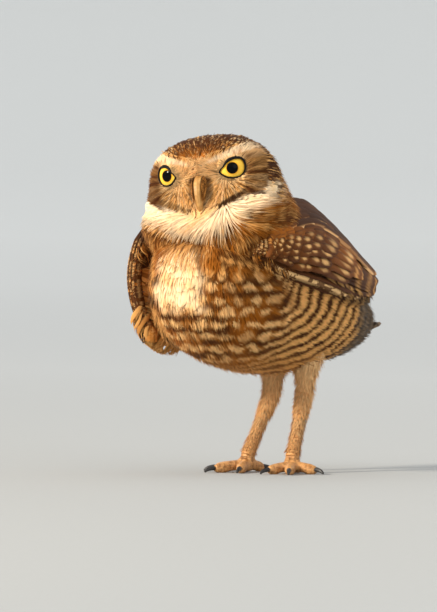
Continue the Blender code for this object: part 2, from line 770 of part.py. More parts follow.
def make_owl():
    for obj in list(bpy.data.objects):
        bpy.data.objects.remove(obj)
    nodes = {}
    for side, name in ((1, "eye_left"), (-1, "eye_right")):
        nodes[name] = (ball(name, eye_centre(side), EYE_RADIUS, 18, 10), "eye", 0.05)
    for obj in make_bill():
        nodes[obj.name] = (obj, "horn", 0.45)
    for obj in make_head_and_neck():
        nodes[obj.name] = (obj, "head", 0.9)
    nodes["torso"] = (make_torso(), "plumage", 0.9)
    for obj in make_wings():
        nodes[obj.name] = (obj, "plumage", 0.8)
    nodes["tail"] = (make_tail(), "plumage", 0.8)
    for index in (0, 1):
        thigh, shank = make_leg(index)
        nodes[thigh.name] = (thigh, "skin", 0.9)
        nodes[shank.name] = (shank, "skin", 0.7)
        for obj in make_foot(index):
            nodes[obj.name] = (obj, "claw" if obj.name.startswith("claw") else "skin", 0.5)
    low = Vector((min(v.co[k] for obj, _, _ in nodes.values() for v in obj.data.vertices) for k in range(3)))
    high = Vector((max(v.co[k] for obj, _, _ in nodes.values() for v in obj.data.vertices) for k in range(3)))
    anchor = bpy.data.objects.new("owl", None)
    anchor.location = (-(low.x + high.x) / 2, -(low.y + high.y) / 2, -low.z)
    bpy.context.scene.collection.objects.link(anchor)
    group = bpy.data.collections.new("burrowing_owl")
    bpy.context.scene.collection.children.link(group)
    for name, (obj, kind, roughness) in nodes.items():
        obj.name = name
        for owner in list(obj.users_collection):
            owner.objects.unlink(obj)
        group.objects.link(obj)
        obj.parent = anchor
        obj.data.shade_smooth()
        obj.data.set_sharp_from_angle(angle=math.radians(40.0))
        paint(obj, kind, roughness)


make_owl()
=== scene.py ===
import math

import bmesh
import bpy
import numpy as np
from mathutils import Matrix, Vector
from mathutils.bvhtree import BVHTree


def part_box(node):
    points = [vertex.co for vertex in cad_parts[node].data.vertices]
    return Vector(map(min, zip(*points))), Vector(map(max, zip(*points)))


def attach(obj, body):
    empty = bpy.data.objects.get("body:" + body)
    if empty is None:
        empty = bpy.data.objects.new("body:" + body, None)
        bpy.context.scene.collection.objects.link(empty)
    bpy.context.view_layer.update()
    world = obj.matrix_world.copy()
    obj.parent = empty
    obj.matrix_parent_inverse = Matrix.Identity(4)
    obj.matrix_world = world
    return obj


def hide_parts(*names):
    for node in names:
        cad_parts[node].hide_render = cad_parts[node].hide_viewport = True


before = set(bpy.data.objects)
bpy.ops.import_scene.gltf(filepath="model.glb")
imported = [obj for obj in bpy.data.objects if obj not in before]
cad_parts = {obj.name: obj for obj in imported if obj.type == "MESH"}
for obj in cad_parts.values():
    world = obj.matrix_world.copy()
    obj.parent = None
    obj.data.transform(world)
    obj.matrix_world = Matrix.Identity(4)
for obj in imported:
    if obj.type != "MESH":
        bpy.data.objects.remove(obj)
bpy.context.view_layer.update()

RNG = np.random.default_rng(7)

# The bird's own frame: metres, facing -Y, its left at +X. These sizes are the same as the solids'.
# Body rows: y, underside, back, half width
BODY = (
    (-.0965, .117, .129, .006), (-.0915, .099, .145, .026), (-.0780, .084, .157, .038),
    (-.0540, .071, .167, .046), (-.0220, .064, .172, .048), (.0080, .064, .164, .046),
    (.0360, .069, .146, .041), (.0600, .0730, .127, .0335), (.0820, .0820, .110, .0215),
    (.0960, .0890, .1015, .0110),
)
BODY_POWER = 2.3
HEAD_CENTRE = np.array((-.0030, -.0620, .1900))
HEAD_TURN = math.radians(18)
HEAD_TILT = math.radians(7)
HEAD_LEAN = .0012
# Head rows: up, half width, depth in front, depth behind
HEAD = (
    (.0262, .004, .004, .004), (.0245, .0185, .015, .023), (.0205, .0285, .021, .033),
    (.0140, .0355, .0250, .0390), (.0070, .0390, .0270, .0420), (.0000, .0410, .0275, .0450),
    (-.0070, .0425, .0280, .0490), (-.0140, .0445, .0290, .0535), (-.0210, .0465, .0310, .0575),
    (-.0290, .0475, .0350, .0595), (-.0390, .0465, .0350, .0560), (-.0500, .0400, .0280, .0450),
)
EYE_RADIUS, EYE_SIDE, EYE_FRONT, EYE_UP = .0110, .0182, .0130, .0026
EYE_SPLAY = math.radians(20)
DISC_SIDE, DISC_WIDE, DISC_DEEP = .0205, .0115, .0038   # the hollow round each eye
# Edges of the wings, from the bend to the tip
WING_LEFT_LOW = (
    (.0450, -.0720, .141), (.0500, -.0550, .131), (.0520, -.0200, .122),
    (.0470, .0250, .1125), (.0370, .0580, .1130), (.0275, .0800, .1185),
)
WING_LEFT_HIGH = (
    (.0420, -.0690, .153), (.0360, -.0480, .164), (.0240, -.0080, .1695),
    (.0215, .0250, .1560), (.0230, .0560, .1360), (.0255, .0790, .1210),
)
WING_RIGHT_LOW = (
    (.0500, -.0670, .0900), (.0515, -.0450, .0825), (.0510, -.0080, .0830),
    (.0460, .0320, .0880), (.0370, .0600, .0970), (.0285, .0820, .1080),
)
WING_RIGHT_HIGH = (
    (.0480, -.0710, .157), (.0350, -.0480, .165), (.0240, -.0080, .1695),
    (.0210, .0250, .1555), (.0220, .0560, .136), (.0260, .0820, .1130),
)
WING_BOW = .16
HIPS = ((-.0050, .0130, .078), (.0210, .0120, .080))
HEELS = ((-.0075, .0130, .0490), (.0185, .0120, .0495))
ANKLES = ((-.0130, -.0070, .0100), (.0220, -.0070, .0100))
THIGH_RADII = (.0120, .0095, .0066, .0052)
SHANK_RADII = (.0046, .0040, .0038, .0046)
# Right foot, then left: heading in degrees and length of the inner, middle, outer and hind toe
TOES = (
    ((22, .0215), (-22, .0250), (-62, .0205), (160, .0125)),
    ((-10, .0215), (30, .0250), (76, .0225), (-165, .0125)),
)
TOE_RADIUS = .0034
TOE_RADII = (.0039, .0036, .0034, .0034, .0036, .0025)
BODY_COAT, HEAD_COAT = .0042, .0030     # how far the skin lies inside the solids
WING_THICK = {1: .0090, -1: .0062}      # left and right
SKIN_VOXEL = .0011

# The photograph: its size in pixels, metres a pixel, and where the camera and the key lamp stand
PHOTO_WIDE, PHOTO_HIGH, PIXEL = 437, 612, .00064
VIEW_TURN, VIEW_RISE, VIEW_DISTANCE = math.radians(35), math.radians(1.5), 5.0
KEY_PLACE = (-1.25, -2.3, 1.25)
SENSOR = 24.0

# Coat: counts of fine feathers, and the strength of its colours
BODY_STRANDS, THROAT_STRANDS, NAPE_STRANDS, FACE_STRANDS = 9700, 6000, 6500, 10200
LID_STRANDS, BILL_BRISTLES, LINING_FEATHERS, UNDERWING_FEATHERS = 1500, 900, 900, 900
THIGH_STRANDS, SHANK_STRANDS = 2500, 1400
COAT_SATURATION, COAT_VALUE = 1.05, 1.10
# Rows of the wing's feathers, and kinds of the tail's
PRIMARIES, SECONDARIES, GREATER, MIDDLE, LESSER, SCAPULARS = range(6)
FLIGHT = (PRIMARIES, SECONDARIES)
TAIL_VANES, TAIL_ABOVE, TAIL_BELOW = range(3)


# Small helpers
def srgb(r, g, b):
    """Linear colour from 0 to 255 values."""
    c = np.array((r, g, b), float) / 255
    return np.where(c <= .04045, c / 12.92, ((c + .055) / 1.055) ** 2.4)


def unit(v):
    return v / np.maximum(np.linalg.norm(v, axis=-1, keepdims=True), 1e-12)


def vec(*parts):
    return np.stack(parts, -1)


def shades(low, high, n):
    """A random gain for each of n vanes, shaped for their colours."""
    return RNG.uniform(low, high, n)[:, None, None, None]


def dot(a, b):
    return np.sum(a * b, axis=-1, keepdims=True)


def ramp(x, a, b):
    """Smooth step from 0 at a to 1 at b."""
    t = np.clip((np.asarray(x, float) - a) / (b - a), 0, 1)
    return t * t * (3 - 2 * t)


def blend(a, b, t):
    """Colours a and b mixed by t, with the last axis for the channels."""
    return a + (b - a) * np.asarray(t)[..., None]


def spline(rows, t):
    """Catmull-Rom rows at t, the same curve as in the solids."""
    rows = np.asarray(rows, float)
    span = len(rows) - 1
    place = np.clip(np.asarray(t, float), 0, 1) * span
    i = np.minimum(place.astype(int), span - 1)
    f = (place - i)[..., None]
    a, b, c, d = (rows[np.clip(i + k, 0, span)] for k in (-1, 0, 1, 2))
    return .5 * (2 * b + (c - a) * f + (2 * a - 5 * b + 4 * c - d) * f * f + (3 * b - a - 3 * c + d) * f ** 3)


def swell(v, power):
    return np.sign(v) * np.abs(v) ** (2 / power)


def body_at(t, angle, out=0.0):
    row = spline(BODY, t)
    x = (row[..., 3] + out) * swell(np.sin(angle), BODY_POWER)
    half = (row[..., 2] - row[..., 1]) / 2 + out
    z = (row[..., 1] + row[..., 2]) / 2 + half * swell(np.cos(angle), BODY_POWER)
    return vec(x, row[..., 0] + 0 * x, z)


def turn_head(v, share=1.0):
    """Vectors of the head's frame (left, back, up) turned into the bird's frame."""
    b, a = HEAD_TILT * share, HEAD_TURN * share
    x = v[..., 0] * np.cos(b) - v[..., 2] * np.sin(b)
    z = v[..., 0] * np.sin(b) + v[..., 2] * np.cos(b)
    return vec(x * np.cos(a) - v[..., 1] * np.sin(a), x * np.sin(a) + v[..., 1] * np.cos(a), z)


def in_head(side, forward, up):
    return HEAD_CENTRE + turn_head(np.array((side, -forward, up), float))


HEAD_AXES = turn_head(np.eye(3))


def to_head(p):
    """Side, forward and up in the head's frame of points of the bird's frame."""
    v = (p - HEAD_CENTRE) @ HEAD_AXES.T
    return v[..., 0], -v[..., 1], v[..., 2]


def head_at(t, angle, out=0.0):
    row = spline(HEAD, t)
    up = row[..., 0]
    rise = up + out * ramp(up, .002, .022)
    front = np.cos(angle) > 0
    share = np.clip((up + .040) / .022, 0, 1)
    depth = np.where(front, row[..., 2], row[..., 3]) + out
    side = (row[..., 1] + out) * np.where(front, swell(np.sin(angle), 2.6), swell(np.sin(angle), 2.15))
    forward = depth * np.where(front, swell(np.cos(angle), 2.6), swell(np.cos(angle), 2.15))
    for sign in (-1, 1):
        far = np.hypot(side - sign * DISC_SIDE, (up - EYE_UP + .002) * .9)
        forward = forward - np.where(forward > 0, DISC_DEEP * np.exp(-(far / DISC_WIDE) ** 2), 0)
    side = side + HEAD_LEAN * share
    centre = HEAD_CENTRE + (np.array((0, -.0560, HEAD_CENTRE[2])) - HEAD_CENTRE) * (1 - share)[..., None]
    return centre + turn_head(vec(side, -forward, rise + 0 * side), share)


def wing_at(side, low_edge, high_edge, s, r, lift=0.0):
    """Point of the wing's outer surface; s runs from the bend to the tip, r from the lower edge up."""
    s, r = np.broadcast_arrays(np.asarray(s, float), np.asarray(r, float))
    low, high = spline(low_edge, s), spline(high_edge, s)
    ahead = spline(low_edge, np.minimum(s + .02, 1)) - spline(low_edge, np.maximum(s - .02, 0))
    chord = high - low
    normal = unit(np.cross(ahead, chord))
    normal = np.where(normal[..., :1] < 0, -normal, normal)
    bow = WING_BOW * np.linalg.norm(chord, axis=-1) * np.sin(math.pi * np.clip(r, 0, 1)) ** .8
    place = low + chord * r[..., None] + normal * (bow + lift)[..., None]
    return place * np.array((side, 1, 1))


# Row frame from the bird's frame: the eye's box gives the shift
eye_low, eye_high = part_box("eye_left")
SHIFT = np.array((eye_low + eye_high) / 2) - in_head(EYE_SIDE, EYE_FRONT, EYE_UP)


# Meshes
def build(name, points, quads, tris=None):
    """Mesh object from arrays in the bird's frame, set into the row frame."""
    points = np.asarray(points, np.float32).reshape(-1, 3) + SHIFT.astype(np.float32)
    quads = np.asarray(quads, np.int32).reshape(-1, 4)
    tris = np.asarray(tris if tris is not None else [], np.int32).reshape(-1, 3)
    mesh = bpy.data.meshes.new(name)
    mesh.vertices.add(len(points))
    mesh.vertices.foreach_set("co", points.ravel())
    loops = np.concatenate((quads.ravel(), tris.ravel()))
    mesh.loops.add(len(loops))
    mesh.loops.foreach_set("vertex_index", loops)
    mesh.polygons.add(len(quads) + len(tris))
    starts = np.concatenate((np.arange(len(quads)) * 4, len(quads) * 4 + np.arange(len(tris)) * 3))
    mesh.polygons.foreach_set("loop_start", starts.astype(np.int32))
    mesh.polygons.foreach_set("use_smooth", np.full(len(starts), True))
    mesh.update(calc_edges=True)
    obj = bpy.data.objects.new(name, mesh)
    bpy.context.scene.collection.objects.link(obj)
    return obj


def colour_layer(obj, name, values):
    """Per-point colour attribute from an array of three channels."""
    layer = obj.data.color_attributes.new(name, "FLOAT_COLOR", "POINT")
    values = np.asarray(values, np.float32).reshape(-1, 3)
    full = np.ones((len(values), 4), np.float32)
    full[:, :3] = values
    layer.data.foreach_set("color", full.ravel())


def uv_layer(obj, per_point):
    loops = np.empty(len(obj.data.loops), np.int32)
    obj.data.loops.foreach_get("vertex_index", loops)
    layer = obj.data.uv_layers.new(name="OFBake")
    layer.data.foreach_set("uv", np.asarray(per_point, np.float32)[loops].ravel())


def put(obj, slot, *nodes):
    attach(obj, "root")
    if nodes:
        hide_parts(*nodes)
    return obj


def grid_quads(rows, columns, wrap=False):
    i, j = np.meshgrid(np.arange(rows - 1), np.arange(columns if wrap else columns - 1), indexing="ij")
    a = i * columns + j
    b = i * columns + (j + 1) % columns
    return vec(a, b, b + columns, a + columns).reshape(-1, 4)


# Materials
def material(name, rough=.6, sheen=0.0, specular=.4, coat=0.0):
    m = bpy.data.materials.new(name)
    m.use_nodes = True
    shader = m.node_tree.nodes["Principled BSDF"]
    shader.inputs["Roughness"].default_value = rough
    shader.inputs["Specular IOR Level"].default_value = specular
    shader.inputs["Sheen Weight"].default_value = sheen
    shader.inputs["Sheen Roughness"].default_value = .5
    shader.inputs["Coat Weight"].default_value = coat
    shader.inputs["Coat Roughness"].default_value = .04
    return m, m.node_tree, shader


def node(tree, kind, **settings):
    n = tree.nodes.new("ShaderNode" + kind)
    for key, value in settings.items():
        if hasattr(n, key):
            setattr(n, key, value)
        else:
            n.inputs[key.replace("_", " ")].default_value = value
    return n


def math_node(tree, operation, a, b=None):
    n = tree.nodes.new("ShaderNodeMath")
    n.operation = operation
    for k, value in enumerate((a, b)):
        if value is None:
            continue
        if isinstance(value, (int, float)):
            n.inputs[k].default_value = value
        else:
            link(tree, value, n.inputs[k])
    return n.outputs[0]


def link(tree, source, target):
    tree.links.new(source, target)


def surface_noise(tree, kind="TexNoise", **settings):
    """Texture over the object's own space."""
    where, noise = node(tree, "TexCoord"), node(tree, kind, **settings)
    link(tree, where.outputs["Object"], noise.inputs["Vector"])
    return noise


def painted(tree, name, split=None):
    """Outputs of a colour attribute: the colour, or the channels of a second attribute as well."""
    colour = node(tree, "Attribute", attribute_name=name).outputs["Color"]
    if split is None:
        return colour
    parts = node(tree, "SeparateColor")
    link(tree, node(tree, "Attribute", attribute_name=split).outputs["Color"], parts.inputs[0])
    return colour, parts.outputs


def scaled(tree, colour, gain):
    mix = node(tree, "VectorMath", operation="SCALE")
    link(tree, colour, mix.inputs[0])
    link(tree, gain, mix.inputs["Scale"])
    return mix.outputs[0]


def bump(tree, shader, height, strength, distance):
    b = node(tree, "Bump", Strength=strength, Distance=distance)
    link(tree, height, b.inputs["Height"])
    link(tree, b.outputs[0], shader.inputs["Normal"])


def coat_material(name, streak=(34.0, 2.4), contrast=.42, rough=.72, sheen=.12, relief=.35):
    """Feather surface: the tint painted on the points, with fine barbs across each vane."""
    m, tree, shader = material(name, rough, sheen * .35, .14)
    tint, (along, across, lot) = painted(tree, "tint", "place")
    off = math_node(tree, "ABSOLUTE", math_node(tree, "SUBTRACT", across, .5))
    slant = math_node(tree, "SUBTRACT", along, math_node(tree, "MULTIPLY", off, .55))
    vector = node(tree, "CombineXYZ")
    link(tree, math_node(tree, "MULTIPLY", slant, streak[0]), vector.inputs[0])
    link(tree, math_node(tree, "MULTIPLY", across, streak[1]), vector.inputs[1])
    link(tree, math_node(tree, "MULTIPLY", lot, 91.7), vector.inputs[2])
    noise = node(tree, "TexNoise", Scale=1.0, Detail=3.0, Roughness=.6)
    link(tree, vector.outputs[0], noise.inputs["Vector"])
    level = math_node(tree, "MULTIPLY", math_node(tree, "SUBTRACT", noise.outputs[0], .5), contrast * 2)
    shaft = math_node(tree, "MULTIPLY", math_node(tree, "LESS_THAN", off, .035), -.10)
    gain = math_node(tree, "ADD", math_node(tree, "ADD", level, 1.0), shaft)
    rich = node(tree, "HueSaturation", Saturation=COAT_SATURATION, Value=COAT_VALUE)
    link(tree, scaled(tree, tint, gain), rich.inputs["Color"])
    link(tree, rich.outputs[0], shader.inputs["Base Color"])
    bump(tree, shader, noise.outputs[0], relief, .0004)
    return m


# Camera, light and floor
def make_stage():
    scene = bpy.context.scene
    scene.view_settings.view_transform = "Standard"
    right = Vector((math.cos(VIEW_TURN), math.sin(VIEW_TURN), 0))
    back = Vector((math.sin(VIEW_TURN) * math.cos(VIEW_RISE), -math.cos(VIEW_TURN) * math.cos(VIEW_RISE),
                   math.sin(VIEW_RISE)))
    up = back.cross(right)
    aim = right * -.0330 + up * .1062 + Vector(SHIFT)
    data = bpy.data.cameras.new("camera")
    data.sensor_fit = "VERTICAL"
    data.sensor_height = SENSOR
    data.sensor_width = SENSOR * PHOTO_WIDE / PHOTO_HIGH
    data.lens = SENSOR * VIEW_DISTANCE / (PHOTO_HIGH * PIXEL)
    data.clip_start, data.clip_end = .1, 60
    camera = bpy.data.objects.new("camera", data)
    scene.collection.objects.link(camera)
    camera.location = aim + back * VIEW_DISTANCE
    camera.rotation_mode = "QUATERNION"
    camera.rotation_quaternion = back.to_track_quat("Z", "Y")
    scene.camera = camera

    world = bpy.data.worlds.new("studio")
    scene.world = world
    world.use_nodes = True
    world.node_tree.nodes["Background"].inputs[0].default_value = (1.0, .99, .975, 1)
    world.node_tree.nodes["Background"].inputs[1].default_value = .86

    def area(name, place, target, size, power, colour):
        light = bpy.data.lights.new(name, "AREA")
        light.shape = "DISK"
        light.size = size
        light.energy = power
        light.color = colour
        lamp = bpy.data.objects.new(name, light)
        lamp.location = place
        lamp.rotation_mode = "QUATERNION"
        lamp.rotation_quaternion = (Vector(place) - Vector(target)).to_track_quat("Z", "Y")
        scene.collection.objects.link(lamp)

    area("key", KEY_PLACE, (0, -.03, .14), .45, 92, (1, .90, .76))
    area("fill", (2.2, -1.2, .9), (0, 0, .12), 1.4, 8, (.95, .98, 1))

    # flat under the bird, and curved up far behind it
    rings = [(.00001, 0), (.5, 0), (1.5, 0), (4, 0), (9, 0), (14, .05),
             (18, .5), (20.5, 1.4), (22, 2.8), (22.6, 4.6), (22.8, 7)]
    turns = np.linspace(0, 2 * math.pi, 129)[:-1]
    points = [(r * math.cos(a), r * math.sin(a), z) for r, z in rings for a in turns]
    floor = build("floor", np.array(points) - SHIFT, grid_quads(len(rings), 128, True)[:, ::-1])
    m, tree, shader = material("pale_floor", .85, 0, .2)
    noise = surface_noise(tree, Scale=260.0, Detail=4.0)
    # painted shade: the floor's colour is darkest straight under the key lamp and grows paler with distance
    # from it, offsetting the lamp's falloff so the floor looks evenly pale
    far = node(tree, "VectorMath", operation="DISTANCE")
    link(tree, node(tree, "TexCoord").outputs["Object"], far.inputs[0])
    far.inputs[1].default_value = (*KEY_PLACE[:2], 0)
    paint = node(tree, "ValToRGB")
    stops = paint.color_ramp.elements
    lamp_falloff_levels = ((0, .27), (.235, .425), (.26, .465), (.378, .61), (.66, .725), (1, .775))
    stops[0].position, stops[1].position = lamp_falloff_levels[0][0], lamp_falloff_levels[-1][0]
    for place, level in lamp_falloff_levels[1:-1]:
        stops.new(place)
    for stop, (place, level) in zip(stops, lamp_falloff_levels):
        stop.color = (level, level * 1.035, level * 1.04, 1)
    link(tree, math_node(tree, "MULTIPLY", far.outputs["Value"], .1), paint.inputs[0])
    gain = math_node(tree, "ADD", math_node(tree, "MULTIPLY", noise.outputs[0], .06), .97)
    link(tree, scaled(tree, paint.outputs[0], gain), shader.inputs["Base Color"])
    floor.data.materials.append(m)


make_stage()


# Skin: one closed surface under the coat
def loft(rings):
    """Points and faces of a closed tube through rings of equal count."""
    rings = np.asarray(rings)
    count, sides = rings.shape[:2]
    points = rings.reshape(-1, 3)
    quads = grid_quads(count, sides, True)
    ends = np.array((rings[0].mean(0), rings[-1].mean(0)))
    points = np.concatenate((points, ends))
    tris = []
    for j in range(sides):
        tris.append((j, (j + 1) % sides, count * sides))
        tris.append(((count - 1) * sides + j, (count - 1) * sides + (j + 1) % sides, count * sides + 1))
    return points, quads, np.array(tris)


def tube(path, radii, sides=20):
    path = np.asarray(path, float)
    t = np.linspace(0, 1, len(path))
    radius = spline([(r,) for r in radii], t)[:, 0]
    ahead = unit(np.gradient(path, axis=0))
    reference = np.array((0, 0, 1.0)) if abs(ahead[0][2]) < .8 else np.array((1.0, 0, 0))
    across = unit(np.cross(reference, ahead))
    other = np.cross(ahead, across)
    a = np.linspace(0, 2 * math.pi, sides + 1)[:-1]
    rings = path[:, None] + radius[:, None, None] * (across[:, None] * np.cos(a)[None, :, None]
                                                    + other[:, None] * np.sin(a)[None, :, None])
    return loft(rings)


def toe_path(index, degrees, length, steps=24):
    centre = np.array(ANKLES[index])
    heading = np.array((math.sin(math.radians(degrees)), -math.cos(math.radians(degrees)), 0))
    share = np.linspace(0, 1, steps)
    arch = .0016 * np.sin(math.pi * np.minimum(share * 1.2, 1))
    height = (TOE_RADIUS - .0003) * share + (centre[2] - .003) * (1 - share) ** 2 * .55 + arch
    height = np.maximum(height, .0029)
    path = np.array((centre[0], centre[1], 0)) + heading * (length * share)[:, None]
    path[:, 2] = height
    return path, heading


def wing_sheet(side, low, high, lift, back):
    """Closed core of a wing, from its bend to where only vanes are left."""
    s, r = np.meshgrid(np.linspace(0, .82, 40), np.linspace(.02, .98, 16), indexing="ij")
    outer = wing_at(side, low, high, s, r, lift)
    inner = wing_at(side, low, high, s, r, back)
    rings = np.concatenate((outer, inner[:, ::-1]), 1)
    return loft(rings)


def make_skin():
    t = np.linspace(0, 1, 60)[:, None]
    a = np.linspace(0, 2 * math.pi, 73)[None, :-1]
    parts = [loft(body_at(t, a, -BODY_COAT)), loft(head_at(t, a, -HEAD_COAT))]
    parts.append(wing_sheet(1, WING_LEFT_LOW, WING_LEFT_HIGH, -.0026, -WING_THICK[1]))
    parts.append(wing_sheet(-1, WING_RIGHT_LOW, WING_RIGHT_HIGH, -.0026, -.0060))
    for i in (0, 1):
        hip, heel, ankle = (np.array(p[i]) for p in (HIPS, HEELS, ANKLES))
        share = np.linspace(-.25, 1.02, 24)[:, None]
        parts.append(tube(hip + (heel - hip) * share,
            [r - .0016 for r in THIGH_RADII[:3]] + [THIGH_RADII[3] - .0008]))
        share = np.linspace(-.04, 1.0, 24)[:, None]
        parts.append(tube(heel + (ankle - heel) * share, SHANK_RADII))
        for degrees, length in TOES[i]:
            parts.append(tube(toe_path(i, degrees, length)[0], TOE_RADII))
        knob = np.array((ankle[0], ankle[1], .0062))
        turns = np.linspace(0, math.pi, 12)[:, None]
        ring = vec(np.sin(turns) * np.cos(a), np.sin(turns) * np.sin(a), np.cos(turns) + 0 * a)
        parts.append(loft(knob + .0056 * ring[1:-1]))
    points, quads, tris, base = [], [], [], 0
    for p, q, f in parts:
        points.append(p)
        quads.append(q + base)
        tris.append(f + base)
        base += len(p)
    obj = build("skin", np.concatenate(points), np.concatenate(quads), np.concatenate(tris))
    shape = bmesh.new()
    shape.from_mesh(obj.data)
    bmesh.ops.recalc_face_normals(shape, faces=shape.faces)
    shape.to_mesh(obj.data)
    shape.free()
    remesh = obj.modifiers.new("remesh", "REMESH")
    remesh.mode = "VOXEL"
    remesh.voxel_size = SKIN_VOXEL
    remesh.use_smooth_shade = True
    smooth = obj.modifiers.new("smooth", "SMOOTH")
    smooth.factor = .5
    smooth.iterations = 6
    graph = bpy.context.evaluated_depsgraph_get()
    mesh = bpy.data.meshes.new_from_object(obj.evaluated_get(graph))
    obj.modifiers.clear()
    obj.data = mesh
    return obj


def points_of(obj):
    co = np.empty(len(obj.data.vertices) * 3, np.float32)
    obj.data.vertices.foreach_get("co", co)
    return co.reshape(-1, 3).astype(float) - SHIFT


skin = make_skin()
skin_points = points_of(skin)
skin_faces = [tuple(p.vertices) for p in skin.data.polygons]
SKIN_TREE = BVHTree.FromPolygons([tuple(p) for p in skin_points], skin_faces)


# Colours of the plumage (sRGB)
DARK = srgb(58, 30, 10)
BROWN = srgb(100, 56, 22)
MID = srgb(144, 88, 38)
RUFOUS = srgb(176, 104, 44)
TAN = srgb(208, 144, 80)
BUFF = srgb(230, 176, 112)
CREAM = srgb(244, 206, 154)
PALE = srgb(250, 226, 192)
BLACK = srgb(24, 15, 9)
GREY = srgb(150, 138, 126)


def wave(p, scale, seed=0.0):
    """Soft smooth variation over space, about -1 to 1."""
    q = p * scale
    return (np.sin(q[..., 0] * 1.7 + q[..., 1] * 1.1 + seed)
            + np.sin(q[..., 1] * 1.9 - q[..., 2] * 1.3 + seed * 2.1)
            + np.sin(q[..., 2] * 2.1 + q[..., 0] * .7 + seed * 3.7)) / 3


class Coat:
    """Gathers vanes and makes one mesh of them, with their tints and their places."""

    def __init__(self, name, slot, mat):
        self.name, self.slot, self.mat = name, slot, mat
        self.points, self.quads, self.tris, self.tint, self.place, self.uv = [], [], [], [], [], []
        self.count = 0

    def add(self, path, side, normal, width, tint, uv, profile, camber=.25, columns=5, ragged=0.0, fringe=0):
        """path, side, normal: (n, m, 3); width: (n,); tint: function of along, across -> (n, m, k, 3)."""
        n, m = path.shape[:2]
        v = np.linspace(0, 1, m)
        u = np.linspace(-1, 1, columns)
        half = width[:, None] / 2 * profile(v)[None]
        if ragged:
            half = half * (1 + ragged * RNG.uniform(-1, 1, (n, m)))
        offset = u[None, None, :, None] * half[..., None, None]
        bend = -camber * (u ** 2)[None, None, :, None] * half[..., None, None]
        grid = path[:, :, None] + side[:, :, None] * offset + normal[:, :, None] * bend
        if ragged:
            slip = RNG.uniform(-1, 1, (n, columns))[:, None, :, None] * (v ** 3)[None, :, None, None]
            step = (path[:, -1] - path[:, -2])[:, None, None]
            grid = grid + slip * step * ragged * 2.5
        along = np.broadcast_to(v[None, :, None], (n, m, columns))
        across = np.broadcast_to(u[None, None], (n, m, columns))
        lot = RNG.random(n)
        colours = tint(along, across)
        base = self.count
        local = grid_quads(m, columns)
        self.quads.append((local[None] + (np.arange(n) * m * columns)[:, None, None] + base).reshape(-1, 4))
        self.points.append(grid.reshape(-1, 3))
        self.tint.append(colours.reshape(-1, 3))
        self.place.append(vec(along, across / 2 + .5,
            np.broadcast_to(lot[:, None, None], along.shape)).reshape(-1, 3))
        patch = vec(across * .0015, (along - .5) * .003)
        self.uv.append((uv[:, None, None] + patch).reshape(-1, 2))
        self.count += n * m * columns
        if fringe:
            self.barbs(grid, colours, along, across, lot, uv, fringe, width)

    def barbs(self, grid, colours, along, across, lot, uv, count, width):
        """Loose barbs that break the rim of each vane."""
        n, m, columns = grid.shape[:3]
        rows = RNG.uniform(.45, 1.0, (n, count)) * (m - 1.001)
        edge = np.where(RNG.random((n, count)) < .5, 0, columns - 1)
        end = RNG.random((n, count)) < .45
        column = np.where(end, RNG.integers(0, columns, (n, count)), edge)
        rows = np.where(end, m - 1.001, rows)
        i = rows.astype(int)
        f = (rows - i)[..., None]
        which = np.arange(n)[:, None]
        root = grid[which, i, column] * (1 - f) + grid[which, i + 1, column] * f
        centre = grid[which, i, columns // 2]
        back = unit(grid[which, i + 1, columns // 2] - centre)
        out = unit(root - centre - back * dot(root - centre, back) + 1e-9)
        lean = np.where(end[..., None], .25, .55) * RNG.uniform(.5, 1.3, (n, count, 1))
        reach = width[:, None, None] * RNG.uniform(.10, .26, (n, count, 1))
        tip = root + (back + out * lean) * reach
        thick = width[:, None, None] * .035
        a = root - out * thick - back * thick
        b = root + back * thick
        colour = colours[which, i, column] * RNG.uniform(.85, 1.12, (n, count, 1))
        base = self.count
        self.points.append(np.stack((a, b, tip), 2).reshape(-1, 3))
        self.tint.append(np.repeat(colour[:, :, None], 3, 2).reshape(-1, 3))
        spot = vec(np.broadcast_to(.5 + 0 * rows, rows.shape), np.broadcast_to(.8 + 0 * rows, rows.shape),
            np.broadcast_to(lot[:, None], rows.shape))
        self.place.append(np.repeat(spot[:, :, None], 3, 2).reshape(-1, 3))
        flat = np.broadcast_to(uv[:, None, None], (n, count, 3, 2)) + np.array(
            ((0, .001), (.0005, .001), (0, .0015)))
        self.uv.append(flat.reshape(-1, 2))
        self.tris.append((np.arange(n * count * 3) + base).reshape(-1, 3))
        self.count += n * count * 3

    def done(self, *nodes):
        tris = np.concatenate(self.tris) if self.tris else None
        obj = build(self.name, np.concatenate(self.points), np.concatenate(self.quads), tris)
        colour_layer(obj, "tint", np.clip(np.concatenate(self.tint), 0, 1))
        colour_layer(obj, "place", np.concatenate(self.place))
        uv_layer(obj, np.concatenate(self.uv))
        obj.data.materials.append(self.mat)
        print(self.name, "triangles", 2 * sum(len(q) for q in self.quads) + sum(len(t) for t in self.tris))
        return put(obj, self.slot, *nodes)


def rounded(v):
    """Broad vane with a rounded tip."""
    return np.where(v < .7, .40 + .60 * np.sin(math.pi / 2 * np.minimum(v / .7, 1)),
                    np.sqrt(np.maximum(1 - ((v - .7) / .315) ** 2, 0)))


def narrow(v):
    """Long vane that tapers to its tip."""
    return np.where(v < .5, .55 + .45 * v / .5, np.maximum(1 - ((v - .5) / .51) ** 2.2, 0.02))


def strand(v):
    return np.maximum(1 - v ** 1.4, .03)


def walk(roots, field, length, rows, height):
    """Paths over the skin from roots along a field of directions; height is metres off the skin by row."""
    n = len(roots)
    place = np.array(roots, float)
    points = np.empty((n, rows, 3))
    normals = np.empty((n, rows, 3))
    for i in range(rows):
        for k in range(n):
            hit = SKIN_TREE.find_nearest(place[k])
            points[k, i] = hit[0]
            normals[k, i] = hit[1]
        if i < rows - 1:
            d = field(points[:, i])
            d = unit(d - normals[:, i] * dot(d, normals[:, i]))
            place = points[:, i] + d * (length / (rows - 1))[:, None]
    smooth = normals.copy()
    smooth[:, 1:-1] = unit(normals[:, :-2] + normals[:, 1:-1] * 2 + normals[:, 2:])
    path = points + smooth * height[..., None]
    return (path, *axes(path, smooth))


